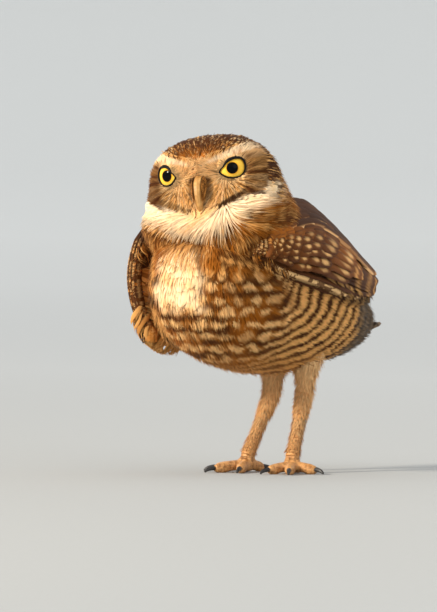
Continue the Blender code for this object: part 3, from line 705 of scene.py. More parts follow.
def axes(path, normal):
    """Sideways and upward directions along each path."""
    ahead = unit(np.gradient(path, axis=1))
    side = unit(np.cross(ahead, normal))
    return side, np.cross(side, ahead)


def sway(n, rows, amount):
    """Random sideways lean that grows towards the tips."""
    return RNG.normal(0, amount, (n, 1, 1)) * (np.linspace(0, 1, rows) ** 2)[None, :, None]


def on_vane(colour, across):
    """Colours along a path, spread over the width of each vane."""
    return colour[:, :, None] + 0 * across[..., None]


def shaded(colour, along, root, reach, low, high):
    """Painted shade, darker towards each vane's hidden root, with a random gain for each vane."""
    return colour * (root + (1 - root) * ramp(along, 0, reach))[..., None] * shades(low, high, len(along))


def margin(v):
    """Share of an edge, kept off the rim of the unwrap."""
    return np.clip(v, 0, 1) * .9 + .05


def lift_rows(n, rows, root, tip, power=1.0, jitter=.0004):
    v = np.linspace(0, 1, rows)
    return root + (np.asarray(tip).reshape(-1, 1) - root) * v ** power + RNG.normal(0, jitter, (n, 1)) * v


# Lie of the coat
def body_field(p):
    """Down over the breast, then back along the body."""
    chest = ramp(-p[..., 1], .040, .090)[..., None]
    under = ramp(.105 - p[..., 2], 0, .03)[..., None]
    d = np.array((0, 1.0, -.42)) * (1 - chest) + np.array((0, .28, -1.0)) * chest
    return unit(d + under * np.array((0, .55, .20)))


EYES = {side: in_head(side * EYE_SIDE, EYE_FRONT, EYE_UP) for side in (-1, 1)}


def face_field(p):
    """Outward from the nearer eye and the bill over the disc, then back over the head and down the nape."""
    side, forward, up = to_head(p)
    a = np.abs(side)
    sign = np.where(side < 0, -1, 1)
    ds, du = a - .0150, up + .001 + .10 * a
    radial = unit(vec(ds * sign, -.002 + 0 * ds, du * 1.0 - .0015))
    back = unit(vec(side * 14.0, 1 + 0 * side, -.30 - 25 * np.maximum(-forward, 0)))
    part = np.tanh((side - .015) / .013)
    sweep = unit(vec(part * 1.4, .30 + 0 * part, -.24 - .75 * (1 - part ** 2) + .50 * ramp(part, .2, 1)))
    disc = disc_share(side, forward, up)[..., None]
    chin = (ramp(-up, .017, .024) * ramp(forward, -.010, .008))[..., None]
    return turn_head(unit(radial * disc + (back * (1 - chin) + sweep * chin) * (1 - disc)))


def disc_share(side, forward, up):
    """1 within the facial disc, 0 on the crown, the nape and the neck."""
    a = np.abs(side)
    low = ramp(up - (-.0262 + .46 * a), -.003, .001)
    high = ramp(-(up - (.0085 + .30 * a)), -.001, .003)
    outer = ramp(.038 - a, 0, .004)
    front = ramp(forward, -.001, .005)
    return low * high * outer * front


def collar_height(p):
    """Height over the line where the neck's feathers end on the body."""
    return p[..., 2] - (.1525 + .19 * (p[..., 1] + .05))


def whole_field(p):
    w = ramp(collar_height(p), -.004, .020)[..., None]
    return unit(body_field(p) * (1 - w) + face_field(p) * w)


# points along the left wing's lower edge, near which the body's colour is darkened as painted shadow
LEFT_EDGE = wing_at(1, WING_LEFT_LOW, WING_LEFT_HIGH, np.linspace(.1, .95, 36), 0.0)


# Colours by place on the bird
def mottles(p):
    """Rufous and brown plumage with soft tan flecks, as on the sides of the breast and neck."""
    fleck = ramp(wave(p, 330, 7.0) + .45 * wave(p, 560, 8.0), .10, .34)
    ground = blend(BROWN * .75 + 0 * p, blend(RUFOUS, MID, .45), ramp(wave(p, 190, 9.0), -.25, .35) * .9)
    return blend(ground, blend(TAN, BUFF, .5), fleck * .85)


def body_colour(p):
    """Plumage of the body by place: a cream breast, rows of pale ovals below it and bars along the flanks,
    with painted shadow on the flank under the left wing's edge.
    """
    flank = ramp(p[..., 1], -.058, -.030)
    stray = (.0021 * (1 - .6 * flank))[..., None]
    q = p + vec(wave(p, 210, 1.0), wave(p, 190, 2.0), wave(p, 230, 3.0)) * stray
    x, y, z = q[..., 0], q[..., 1], q[..., 2]
    down = .112 - z
    rear = np.maximum(y + .056, 0) * .50
    row = np.hypot(np.maximum(down, 0), rear) + np.minimum(down, 0) * (1 - ramp(rear, 0, .010))
    pitch = .0078 - .0016 * flank
    phase = row / pitch
    turn = .85 * np.abs(x) + .55 * (y + .0965)
    number = np.round(phase)
    cell = turn / .0118 + (number % 2) * .5 + .22 * np.sin(number * 12.9)
    band = np.cos(phase * 2 * math.pi)
    flat = .80 + .15 * ramp(.104 - z, -.004, .008)
    oval = ramp(band * flat + (1.55 - flat) * np.cos(cell * 2 * math.pi) + .16 * wave(p, 420, 5.0), .12, .62)
    oval = oval * (.55 + .45 * ramp(wave(p, 95, 8.0), -.5, .1))
    bars = ramp(band + .16 * wave(p, 260, 8.0), -.42, .02)
    mark = oval * (1 - flank) + bars * flank
    ground = blend(MID + 0 * q, BROWN, ramp(-band, -.6, .5))
    ground = blend(ground, DARK, ramp(-band + .5 * wave(p, 330, 6.0), .1, .8) * (.50 + .40 * flank))
    ground = blend(ground, RUFOUS * .9, ramp(wave(p, 75, 4.0), -.2, .6) * .70 * (1 - flank))
    low = ramp(.082 - z, 0, .014) * ramp(.03 - y, 0, .03)
    out = blend(ground, blend(BUFF + 0 * q, CREAM, .35 * (1 - flank)), mark * (.96 - .30 * low))
    out = blend(out, TAN * .88, low * .30)
    # breast: a pale middle with mottled brown to the bird's right of it and up to the neck
    front = ramp(-y, .048, .066) * ramp(z, .101, .108)
    left = ramp(x + .006 * wave(p, 160, 2.0), .014, .022)
    left = left * (1 - ramp(z + .006 * wave(p, 120, 1.0), .122, .136))
    inner = ramp(.0200 - np.abs(x + .0030) + .005 * wave(p, 130, 6.0), -.004, .009)
    inner = inner * ramp(z + .004 * wave(p, 240, 4.0), .098, .110)
    cream = blend(blend(PALE, CREAM, .6) + 0 * q, BUFF, ramp(wave(p, 210, 3.0), .0, .8) * .6)
    bib = blend(mottles(p), cream, inner)
    out = blend(out, bib, front * (1 - left))
    high = ramp(collar_height(p), -.022, -.012) * ramp(x, .006, .014)
    out = blend(out, mottles(p), high * (1 - inner) * ramp(-y, .02, .04))
    back = ramp(z + .5 * np.maximum(y, 0), .144, .154) * ramp(y, -.07, -.045)
    speck = ramp(wave(p, 420, 11.0) + wave(p, 770, 12.0) * .4, .35, .6)
    out = blend(out, blend(BROWN * .8 + 0 * q, BUFF, speck * .8), back)
    # pale feathers that reach out from under the drooped wing, with shade over them
    out_x = ramp(-x, .021, .028) * ramp(-y, .028, .045)
    out = blend(out, DARK * .7, out_x * ramp(.0045 - np.abs(z - .1115), 0, .003) * .8)
    out = blend(out, blend(TAN, BUFF, .6), out_x * ramp(.108 - z, 0, .003) * .85)
    vent = ramp(y + .004 * wave(p, 200, 2.0), .034, .054) * ramp(.114 - z, 0, .008)
    out = blend(out, GREY * (.20 + .22 * ramp(wave(p, 500, 3.0), -.3, .6))[..., None], vent * .88)
    # painted shadow: the flank darkens within a few millimetres of the left wing's lower edge, where the wing
    # shades it
    edge = np.min(np.linalg.norm(p[..., None, :] - LEFT_EDGE, axis=-1), axis=-1)
    return out * (1 - .65 * ramp(.0080 - edge, 0, .0060) * flank)[..., None]


def crown_colour(p):
    """Ground of the head outside the disc."""
    side, forward, up = to_head(p)
    a = np.abs(side)
    ground = BROWN * .52 + 0 * a[..., None]
    streak = wave(vec(side * 1200, up * 60, forward * 60), 1.0, 3.0)
    ground = blend(ground, DARK, ramp(streak, -.2, .6) * .5)
    fore = ramp(forward, .008, .020) * ramp(.017 - a, 0, .008)
    fore = fore * ramp(.0195 - up, 0, .009) * ramp(up, -.010, -.002)
    ground = blend(ground, blend(RUFOUS + 0 * a[..., None], BROWN, ramp(streak, -.1, .5) * .8), fore * .8)
    chin = ramp(-up, .011, .015) * ramp(forward, .002, .010) * ramp(.020 - a, 0, .006)
    ground = blend(ground, blend(CREAM + 0 * a[..., None], BUFF, .6), chin)
    nape = ramp(-forward, -.004, .022)
    ground = blend(ground, MID * .9, nape * .4)
    rim_line = -.0262 + .46 * np.minimum(a, .040)
    neck = ramp(rim_line - up, -.001, .003)
    throat = neck * ramp(forward, -.016, .0)
    band = blend(PALE + 0 * a[..., None], CREAM, .3 + .5 * ramp(wave(p, 260, 5.0), .1, .7))
    line = wave(vec(up * 900, side * 160, forward * 160), 1.0, 6.0)
    band = blend(band, DARK * 1.3, ramp(line, .10, .45) * ramp(side, .016, .028) * .85)
    band = blend(band, BROWN, ramp(line, .25, .65) * ramp(-side, .020, .032) * .6)
    lower = ramp(rim_line - .0080 - .10 * np.maximum(-side, 0) - .08 * np.maximum(side, 0) - up, 0, .004)
    beneath = blend(mottles(p), blend(CREAM, BUFF, .4),
                    ramp(.018 - np.abs(p[..., 0] + .0025), 0, .010) * ramp(.147 - p[..., 2], 0, .006))
    ground = blend(ground, mottles(p), neck * ramp(side, .026, .036) * .75)
    throat = throat * (1 - ramp(side + .6 * (rim_line - up), .046, .056))
    ground = blend(ground, blend(band, beneath, lower), throat)
    return ground


def lattice(path_at, t_rows, spacing):
    """Staggered roots over a surface given by t and angle, spaced evenly round each ring."""
    found = []
    for k, t in enumerate(t_rows):
        angles = np.linspace(0, 2 * math.pi, 361)
        ring = path_at(np.full(361, t), angles)
        steps = np.concatenate(([0], np.cumsum(np.linalg.norm(np.diff(ring, axis=0), axis=1))))
        count = max(int(steps[-1] / spacing), 3)
        goal = (np.arange(count) + (k % 2) * .5 + RNG.uniform(-.22, .22, count)) * steps[-1] / count
        angle = np.interp(goal % steps[-1], steps, angles)
        found.append(vec(np.clip(t + RNG.uniform(-.22, .22, count) * (t_rows[1] - t_rows[0]), 0, 1), angle))
    return np.concatenate(found)


def rows_by_length(path_at, angle, spacing, low=0.0, high=1.0):
    t = np.linspace(low, high, 400)
    line = path_at(t, np.full(400, angle))
    steps = np.concatenate(([0], np.cumsum(np.linalg.norm(np.diff(line, axis=0), axis=1))))
    count = int(steps[-1] / spacing)
    return np.interp(np.linspace(0, steps[-1], count), steps, t)


# Where the wings cover the body
def wing_cover():
    points, faces, base = [], [], 0
    for side, low, high in ((1, WING_LEFT_LOW, WING_LEFT_HIGH), (-1, WING_RIGHT_LOW, WING_RIGHT_HIGH)):
        s, r = np.meshgrid(np.linspace(.0, .98, 30), np.linspace(.10, .93, 12), indexing="ij")
        p = wing_at(side, low, high, s, r).reshape(-1, 3)
        points.append(p)
        faces += [tuple(int(v) + base for v in q) for q in grid_quads(30, 12)]
        base += len(p)
    return BVHTree.FromPolygons([tuple(p) for p in np.concatenate(points)], faces)


WING_TREE = wing_cover()


def uncovered(roots, normals):
    """True where no wing lies over a root."""
    keep = np.ones(len(roots), bool)
    for k in range(len(roots)):
        hit = WING_TREE.ray_cast(Vector(roots[k] - normals[k] * .004), Vector(normals[k]), .026)
        keep[k] = hit[0] is None
    return keep


def sample_skin(count, weight):
    """Roots spread at random over the skin, with weight giving the share of the full density by place."""
    tri = np.array([(f[0], f[k], f[k + 1]) for f in skin_faces for k in range(1, len(f) - 1)])
    a, b, c = (skin_points[tri[:, k]] for k in range(3))
    size = np.linalg.norm(np.cross(b - a, c - a), axis=1) * np.clip(weight((a + b + c) / 3), 0, 1)
    pick = RNG.choice(len(tri), count, p=size / size.sum())
    r, t = np.sqrt(RNG.random((count, 1))), RNG.random((count, 1))
    return a[pick] * (1 - r) + b[pick] * r * (1 - t) + c[pick] * r * t


def wrap_uv(p):
    """Place on an unwrap of the body: the turn round its long axis, and the length."""
    turn = np.arctan2(p[..., 0], p[..., 2] - .118) / (2 * math.pi) + .5
    return vec(turn * .96 + .02, np.clip((p[..., 1] + .105) / .22, 0, 1) * .96 + .02)


def head_uv(p):
    side, forward, up = to_head(p)
    turn = np.arctan2(side, forward + .008) / (2 * math.pi) + .5
    return vec(turn * .96 + .02, np.clip((up + .065) / .095, 0, 1) * .96 + .02)


def root_shade(v):
    """Painted shade of a vane, from its hidden root to its lit tip."""
    return .62 + .38 * ramp(v, .05, .55)


# Body
def body_weight(p):
    on = ramp(.004 - collar_height(p), 0, .004) * ramp(p[..., 2], .064, .068) * (np.abs(p[..., 0]) < .0475)
    for hip in HIPS:
        on = on * ((np.hypot(p[..., 0] - hip[0], p[..., 1] - hip[1]) > .0125) | (p[..., 2] > .080))
    return on


def coat_body():
    mat = coat_material("body_feather_vanes", (26.0, 3.0), .30)
    coat = Coat("body_feathers", "body_feathers", mat)
    rows = rows_by_length(body_at, math.radians(125), .0050, .0, .985)
    param = lattice(body_at, rows, .0056)
    roots = body_at(param[:, 0], param[:, 1], -BODY_COAT)
    normal = unit(body_at(param[:, 0], param[:, 1], .0) - roots)
    keep = uncovered(roots, normal) & (collar_height(roots) < .006)
    for hip in HIPS:
        keep &= (np.hypot(roots[:, 0] - hip[0], roots[:, 1] - hip[1] + .004) > .0160) | (roots[:, 2] > .088)
    roots = roots[keep]
    n = len(roots)
    length = np.where(roots[:, 1] > -.02, .0175, .0150) * RNG.uniform(.88, 1.12, n)
    path, side, up = walk(roots, body_field, length, 8, lift_rows(n, 8, .0004, .0040, .75))
    width = .0098 * RNG.uniform(.85, 1.1, n)

    def tint(along, across):
        spread = path[:, :, None] + side[:, :, None] * (across * width[:, None, None] / 2)[..., None]
        shaft = 1 - .14 * (1 - ramp(np.abs(across), 0, .25))
        return body_colour(spread) * (root_shade(along) * shaft)[..., None] * shades(.85, 1.12, n)

    coat.add(path, side, up, width, tint, wrap_uv(roots), rounded, .30, 7, .16, 18)
    coat.done()

    mat = coat_material("body_fine_strands", (3.0, 1.0), .30, .8, .15, .12)
    for part in "ab":
        coat = Coat("body_strands_" + part, "body_feathers", mat)
        roots = sample_skin(BODY_STRANDS, body_weight)
        normal = np.array([SKIN_TREE.find_nearest(r)[1] for r in roots])
        roots = roots[uncovered(roots, normal)]
        n = len(roots)
        length = (.0105 + .003 * ramp(roots[:, 1], -.04, .04)) * RNG.uniform(.7, 1.25, n)
        fluff = ramp(roots[:, 1], .035, .075)
        path, side, up = walk(roots, body_field, length, 6,
                              lift_rows(n, 6, .0016, .0052 + .0014 * fluff, .8, .0007))
        lean = sway(n, 6, .0009)
        soft = ramp(.022 - np.abs(roots[:, 0] + .0025), 0, .006)
        soft = soft * ramp(roots[:, 2], .104, .112) * ramp(-roots[:, 1], .05, .06)
        path = path + side * lean - up * (.0013 * soft)[:, None, None] * np.linspace(0, 1, 6)[None, :, None]
        width = .00125 * RNG.uniform(.6, 1.4, n) * (1 + .7 * soft)

        def tint(along, across):
            c = on_vane(body_colour(path), across)
            return shaded(c, along, .80, .4, .88, 1.08)

        coat.add(path, side, up, width, tint, wrap_uv(roots), strand, .2, 3)
        coat.done()


# Head
def coat_head():
    mat = coat_material("head_feather_vanes", (14.0, 3.0), .35)
    coat = Coat("head_feathers", "head_feathers", mat)
    param = lattice(head_at, rows_by_length(head_at, math.radians(110), .0023, .02, .97), .0025)
    roots = head_at(param[:, 0], param[:, 1], -HEAD_COAT)
    side_, forward, up_ = to_head(roots)
    keep = (disc_share(side_, forward, up_) < .45) & (collar_height(roots) > -.004)
    near = np.minimum(*(np.linalg.norm(roots - EYES[s], axis=-1) for s in (-1, 1)))
    keep &= near > .0120
    chin = ramp(-up_, .017, .022) * ramp(forward, -.006, .006)
    keep &= RNG.random(len(roots)) > chin * .6
    roots = roots[keep]
    side_, forward, up_ = to_head(roots)
    n = len(roots)
    low = ramp(-up_, .016, .034)
    length = (.0080 + .0060 * low + .002 * ramp(-forward, 0, .03)) * RNG.uniform(.85, 1.15, n)
    length *= 1 - .35 * ramp(forward, .010, .020) * ramp(up_, -.01, .0)
    path, side, up = walk(roots, whole_field, length, 6,
        lift_rows(n, 6, .0003, .0026 + .0012 * low, .8, .0003))
    width = (.0036 + .0024 * low) * RNG.uniform(.85, 1.15, n)
    hs, hf, hu = to_head(path[:, 4])
    plain = np.maximum(ramp(-hu, .012, .020) * ramp(hf, -.012, .002),
        ramp(hf, .008, .016) * ramp(.020 - np.abs(hs), 0, .006) * .7)
    size = RNG.uniform(.6, 1.2, n)
    marked = np.where(RNG.random(n) < .55, RNG.uniform(.5, 1.0, n), .0)

    def tint(along, across):
        centre = RNG.uniform(.70, .86, n)[:, None, None]
        drop = np.hypot(across / (.34 * size[:, None, None]), (along - centre) / (.13 * size[:, None, None]))
        mask = (1 - ramp(drop, .6, 1.25)) * ((1 - plain) * marked)[:, None, None]
        base = on_vane(crown_colour(path), across)
        cheek = (ramp(-hu, -.004, .006) * ramp(np.abs(hs), .022, .030))[:, None, None]
        out = blend(base, blend(CREAM + 0 * base, TAN, cheek), mask * .95)
        return out * root_shade(along)[..., None] * shades(.80, 1.16, n)

    coat.add(path, side, up, width, tint, head_uv(roots), rounded, .25, 5, .14, 9)
    coat.done()

    mat = coat_material("throat_strands", (3.0, 1.0), .25, .8, .15, .12)
    coat = Coat("throat_strands", "throat_feathers", mat)

    def weight(p):
        _, f_, u_ = to_head(p)
        return ramp(-u_, .0185, .023) * ramp(f_, -.022, -.008) * ramp(collar_height(p), -.004, .0)

    roots = sample_skin(THROAT_STRANDS, weight)
    n = len(roots)
    length = .0150 * RNG.uniform(.6, 1.2, n)
    path, side, up = walk(roots, whole_field, length, 8, lift_rows(n, 8, .0012, .0048, .7, .0008))
    path = path + side * sway(n, 8, .0010)
    root_colour = crown_colour(path[:, 1])

    def tint_throat(along, across):
        c = on_vane(blend(root_colour[:, None], crown_colour(path), .35), across)
        return shaded(c, along, .80, .4, .84, 1.08)

    coat.add(path, side, up, .00125 * RNG.uniform(.6, 1.4, n), tint_throat, head_uv(roots), strand, .2, 3)
    coat.done()

    mat = coat_material("nape_strands", (3.0, 1.0), .30, .8, .15, .12)
    coat = Coat("head_strands", "head_feathers", mat)

    def weight_nape(p):
        s_, f_, u_ = to_head(p)
        on = ramp(collar_height(p), -.004, .0)
        return on * (1 - disc_share(s_, f_, u_)) * (1 - .70 * ramp(u_, .006, .014)) * ramp(.012 - f_, 0, .012)

    roots = sample_skin(NAPE_STRANDS, weight_nape)
    n = len(roots)
    top = ramp(to_head(roots)[2], .004, .016)
    length = (.0100 - .0050 * top) * RNG.uniform(.6, 1.2, n)
    path, side, up = walk(roots, whole_field, length, 6,
        lift_rows(n, 6, .0012, .0042 - .0014 * top, .8, .0006))

    def tint_nape(along, across):
        tone = RNG.random(n)
        c = on_vane(blend(crown_colour(path), BUFF, (ramp(tone, .76, .84) * .8)[:, None]), across)
        c = blend(c, DARK, (ramp(.30 - tone, 0, .05) * .6)[:, None, None] + 0 * along)
        return shaded(c, along, .74, .4, .80, 1.16)

    coat.add(path, side, up, .00095 * RNG.uniform(.6, 1.4, n), tint_nape, head_uv(roots), strand, .2, 3)
    coat.done()


# Facial disc and brows
def face_colour(p):
    """Colour of the fine strands of the face by place."""
    side, _, up = to_head(p)
    a = np.abs(side)
    out = blend(TAN, BUFF, .80) + 0 * a[..., None]
    round_eye = np.arctan2(up + .001, a - .0150)
    streak = (wave(vec(round_eye * 13, 0 * a, 0 * a), 1.0, 2.0)
              + .4 * wave(vec(round_eye * 31, a * 300, 0 * a), 1.0, 4.0))
    low = ramp(.004 - up, 0, .006)
    out = blend(out, BROWN * .9, ramp(streak, .0, .5) * .80 * low * ramp(a, .008, .016))
    out = blend(out, CREAM, ramp(-streak, .05, .7) * .60 * low)
    eye = np.hypot(a - .0182, up - .0026)
    out = blend(out, CREAM, ramp(.0125 - eye, 0, .003) * .45)
    line = .0052 + .335 * a
    thick = .0014 + .085 * a
    brow = ramp(thick - np.abs(up - line - .0006) + .0006 * wave(p, 700, 3.0), 0, .0018) * ramp(a, .0, .003)
    patch = ramp(a, .021, .027) * ramp(up - (.0035 + .10 * a), 0, .002) * ramp(line + .0045 - up, 0, .002)
    out = blend(out, blend(PALE, CREAM, .35), np.clip(brow + .30 * patch, 0, 1))
    out = blend(out, RUFOUS, ramp(wave(vec(side * 900, up * 200, 0 * side), 1.0, 8.0), .25, .6)
        * np.clip(brow, 0, 1) * ramp(a, .012, .022) * .7)
    middle = ramp(.0090 - a, 0, .004) * ramp(up, -.001, .003)
    out = blend(out, blend(CREAM, BUFF, .4), middle * .8)
    chin = ramp(.0120 - a, 0, .004) * ramp(-up, .0165, .0200)
    out = blend(out, blend(CREAM, BUFF, .5), chin * .7)
    lores = ramp(.0100 - a, 0, .004) * ramp(.0005 - up, 0, .003) * ramp(up, -.019, -.010)
    out = blend(out, BROWN * 1.15, lores * .75)
    spot = ramp(.0030 - np.hypot(a - .0052, up + .0030) + .0008 * wave(p, 1500, 2.0), 0, .0022)
    out = blend(out, DARK, spot * .75)
    rim_line = -.0262 + .46 * a
    ragged = .0009 * wave(p, 900, 5.0)
    rim = ramp(.0026 - np.abs(up - rim_line + ragged), 0, .0012) * ramp(.034 - a, 0, .008)
    below = ramp(rim_line - up, .0014, .0030)
    out = blend(out, PALE, below * ramp(.034 - a, 0, .006))
    out = blend(out, DARK * .8, rim * (.95 - .50 * ramp(-side, .004, .012)))
    outer = ramp(a + .10 * np.abs(up) + .0015 * (side < 0), .0265, .0320) * ramp(.013 - up, 0, .004)
    out = blend(out, blend(BROWN, DARK, .4), outer
        * (.55 + .25 * (side < 0) + .40 * ramp(streak, -.4, .4) * (1 - .4 * (side < 0))))
    return out


def forehead(side, forward, up):
    """1 above the bill and the brows, as far as the dark crown."""
    a = np.abs(side)
    on = ramp(forward, .004, .010) * ramp(up, .006, .009)
    return on * ramp(.0195 - up - .10 * a, 0, .004) * ramp(.023 - a, 0, .006)


def coat_face():
    mat = coat_material("face_strands", (2.0, 1.0), .26, .75, .15, .12)
    coat = Coat("face_strands", "head_feathers", mat)

    def weight(p):
        s_, f_, u_ = to_head(p)
        return np.maximum(ramp(disc_share(s_, f_, u_), .1, .3), forehead(s_, f_, u_))

    roots = sample_skin(FACE_STRANDS, weight)
    shut = np.ones(len(roots), bool)
    for sign in (-1, 1):
        theta, edge = eye_angles(roots, sign)
        shut &= theta > edge + .12
    side_, forward, up_ = to_head(roots)
    bill = (np.abs(side_) < .0034) & (up_ < -.003) & (up_ > -.027)
    roots = roots[shut & ~bill]
    n = len(roots)
    side_, forward, up_ = to_head(roots)
    length = .0056 * RNG.uniform(.65, 1.25, n) * (1 - .35 * ramp(.011 - np.abs(side_), 0, .006))
    path, side, up = walk(roots, face_field, length, 5, lift_rows(n, 5, .0003, .0024, .9, .0005))
    width = .00062 * RNG.uniform(.7, 1.3, n)
    lot = RNG.random(n)
    streaks = blend(blend(np.tile(TAN * .9, (n, 1)), RUFOUS, ramp(lot, .15, .25)), BROWN, ramp(lot, .44, .52))
    above = forehead(side_, forward, up_) * ramp(up_ - (.0075 + .335 * np.abs(side_)), 0, .0030)
    stray = RNG.random(n) < .07 + .34 * ramp(np.abs(side_), .008, .026) * ramp(.006 - up_, 0, .006)

    def tint(along, across):
        c = on_vane(face_colour(path), across)
        c = blend(c, DARK * 1.4, (stray * .62)[:, None, None] + 0 * along)
        c = blend(c, streaks[:, None, None] * .82 + 0 * c, (above * .95)[:, None, None] + 0 * along)
        return shaded(c, along, .72, .5, .76, 1.12)

    coat.add(path, side, up, width, tint, head_uv(roots), strand, .1, 3)
    coat.done()

    # short strands over the lids, out from the rim of each eye
    coat = Coat("face_bristles", "head_feathers", mat)
    for sign in (-1, 1):
        axis, out, up_axis = eye_frame(sign)
        n = LID_STRANDS
        phi = RNG.uniform(-math.pi, math.pi, n)
        edge = opening_angle(phi, sign)
        heavy = 1 + 1.1 * ramp(np.sin(phi + .35), .1, .9)
        start = edge + .085 * heavy + RNG.random(n) ** 1.3 * .42
        reach = RNG.uniform(.16, .34, n)
        v = np.linspace(0, 1, 5)[None]
        theta = start[:, None] + reach[:, None] * v
        away = out * np.cos(phi)[:, None, None] + up_axis * np.sin(phi)[:, None, None]
        d = axis * np.cos(theta)[..., None] + away * np.sin(theta)[..., None]
        high = EYE_RADIUS + .0009 + .0009 * v * RNG.uniform(.5, 1.3, (n, 1)) + .0016 * ramp(theta, .9, 1.4)
        path = EYES[sign] + d * high[..., None]
        side, up = axes(path, d)

        def tint_lid(along, across, path=path, start=start, edge=edge, n=n):
            c = on_vane(face_colour(path), across)
            close = ramp(.19 - (start - edge), 0, .06)[:, None, None]
            c = blend(c, BLACK, close * .60 + 0 * along)
            return c * shades(.78, 1.12, n)

        width = .00050 * RNG.uniform(.7, 1.3, n)
        coat.add(path, side, up, width, tint_lid, head_uv(path[:, 0]), strand, .1, 3)

    # bristles over the sides of the bill, which leave its ridge free
    for sign in (-1, 1):
        n = BILL_BRISTLES
        start = RNG.random(n) ** 1.2 * .44
        v = np.linspace(0, 1, 6)[None]
        t = np.clip(start[:, None] + RNG.uniform(.14, .26, (n, 1)) * v, 0, 1)
        row = spline(BILL, t)
        ahead2 = unit(spline(BILL, np.minimum(t + .02, 1))[..., :2]
                      - spline(BILL, np.maximum(t - .02, 0))[..., :2])
        turn = (RNG.uniform(math.radians(42), math.radians(115), n)[:, None]
                + .10 * RNG.normal(0, 1, (n, 1)) * v)
        rise = .0003 + .0009 * RNG.random((n, 1)) * v + .0004 * (1 - v)
        across = sign * (row[..., 2] + rise) * np.sin(turn)
        out = (row[..., 3] + rise) * np.cos(turn)
        local = vec(across, -(row[..., 0] - ahead2[..., 1] * out), row[..., 1] + ahead2[..., 0] * out)
        path = HEAD_CENTRE + turn_head(local)
        side, up = axes(path, turn_head(np.array((sign * .8, -.8, .2))))
        tone = RNG.random(n)

        def tint_bristle(along, across, tone=tone, n=n):
            c = blend(TAN + np.zeros((n, 3)), MID * .75, ramp(tone, .30, .5))
            c = blend(c, DARK, ramp(tone, .62, .75))
            return c[:, None, None] + 0 * across[..., None]

        width = .00042 * RNG.uniform(.7, 1.3, n)
        coat.add(path, side, up, width, tint_bristle, head_uv(path[:, 0]), strand, .1, 3)
    coat.done()


# Bill rows: forward, up, half width, half height
BILL = (
    (.0215, -.0030, .0044, .0040), (.0260, -.0048, .0042, .0046), (.0288, -.0082, .0038, .0044),
    (.0303, -.0125, .0032, .0037), (.0306, -.0170, .0025, .0028), (.0301, -.0210, .0016, .0018),
    (.0291, -.0245, .0007, .0008),
)

# Eyes: the rim of the lids, outwards and up from the middle of the eye, in millimetres
OPENING = (
    (-7.9, -1.6), (-5.0, 1.2), (-2.6, 3.5), (0.0, 4.8), (3.2, 5.3), (6.2, 4.9), (7.6, 3.1),
    (7.9, 0.2), (7.2, -2.7), (5.2, -4.7), (2.0, -5.6), (-1.8, -5.3), (-5.2, -3.9),
)


def eye_frame(side):
    axis = turn_head(np.array((side * math.sin(EYE_SPLAY), -math.cos(EYE_SPLAY), 0.0)))
    up = turn_head(np.array((0, 0, 1.0)))
    up = unit(up - axis * dot(up, axis))
    out = np.cross(up, axis) * -1
    if np.dot(out, turn_head(np.array((side, 0, 0.0)))) < 0:
        out = -out
    return axis, out, up


RIM_TURNS = np.linspace(-math.pi, math.pi, 145)[:-1]


def rim_sizes(inner):
    """Half opening of the lids by direction; inner scales the corner next to the bill."""
    shape = np.array(OPENING) * .001
    shape[:, 0] = np.where(shape[:, 0] < 0, shape[:, 0] * inner, shape[:, 0])
    angles = np.arctan2(shape[:, 1], shape[:, 0])
    order = np.argsort(angles)
    rim = np.interp(RIM_TURNS, angles[order], np.hypot(shape[:, 0], shape[:, 1])[order], period=2 * math.pi)
    for _ in range(2):
        rim = (np.roll(rim, 1) + 2 * rim + np.roll(rim, -1)) / 4
    return rim


RIM_ANGLES = {sign: np.arcsin(np.clip(rim_sizes(inner) / (EYE_RADIUS + .0004), 0, .93))
              for sign, inner in ((1, 1.0), (-1, .72))}


def opening_angle(phi, sign):
    return np.interp(phi, RIM_TURNS, RIM_ANGLES[sign], period=2 * math.pi)


def eye_angles(p, sign):
    """Angle of points from the eye's axis, and the edge of the opening in that direction."""
    axis, out, up = eye_frame(sign)
    d = unit(p - EYES[sign])
    theta = np.arccos(np.clip(dot(d, axis)[..., 0], -1, 1))
    return theta, opening_angle(np.arctan2(dot(d, up)[..., 0], dot(d, out)[..., 0]), sign)


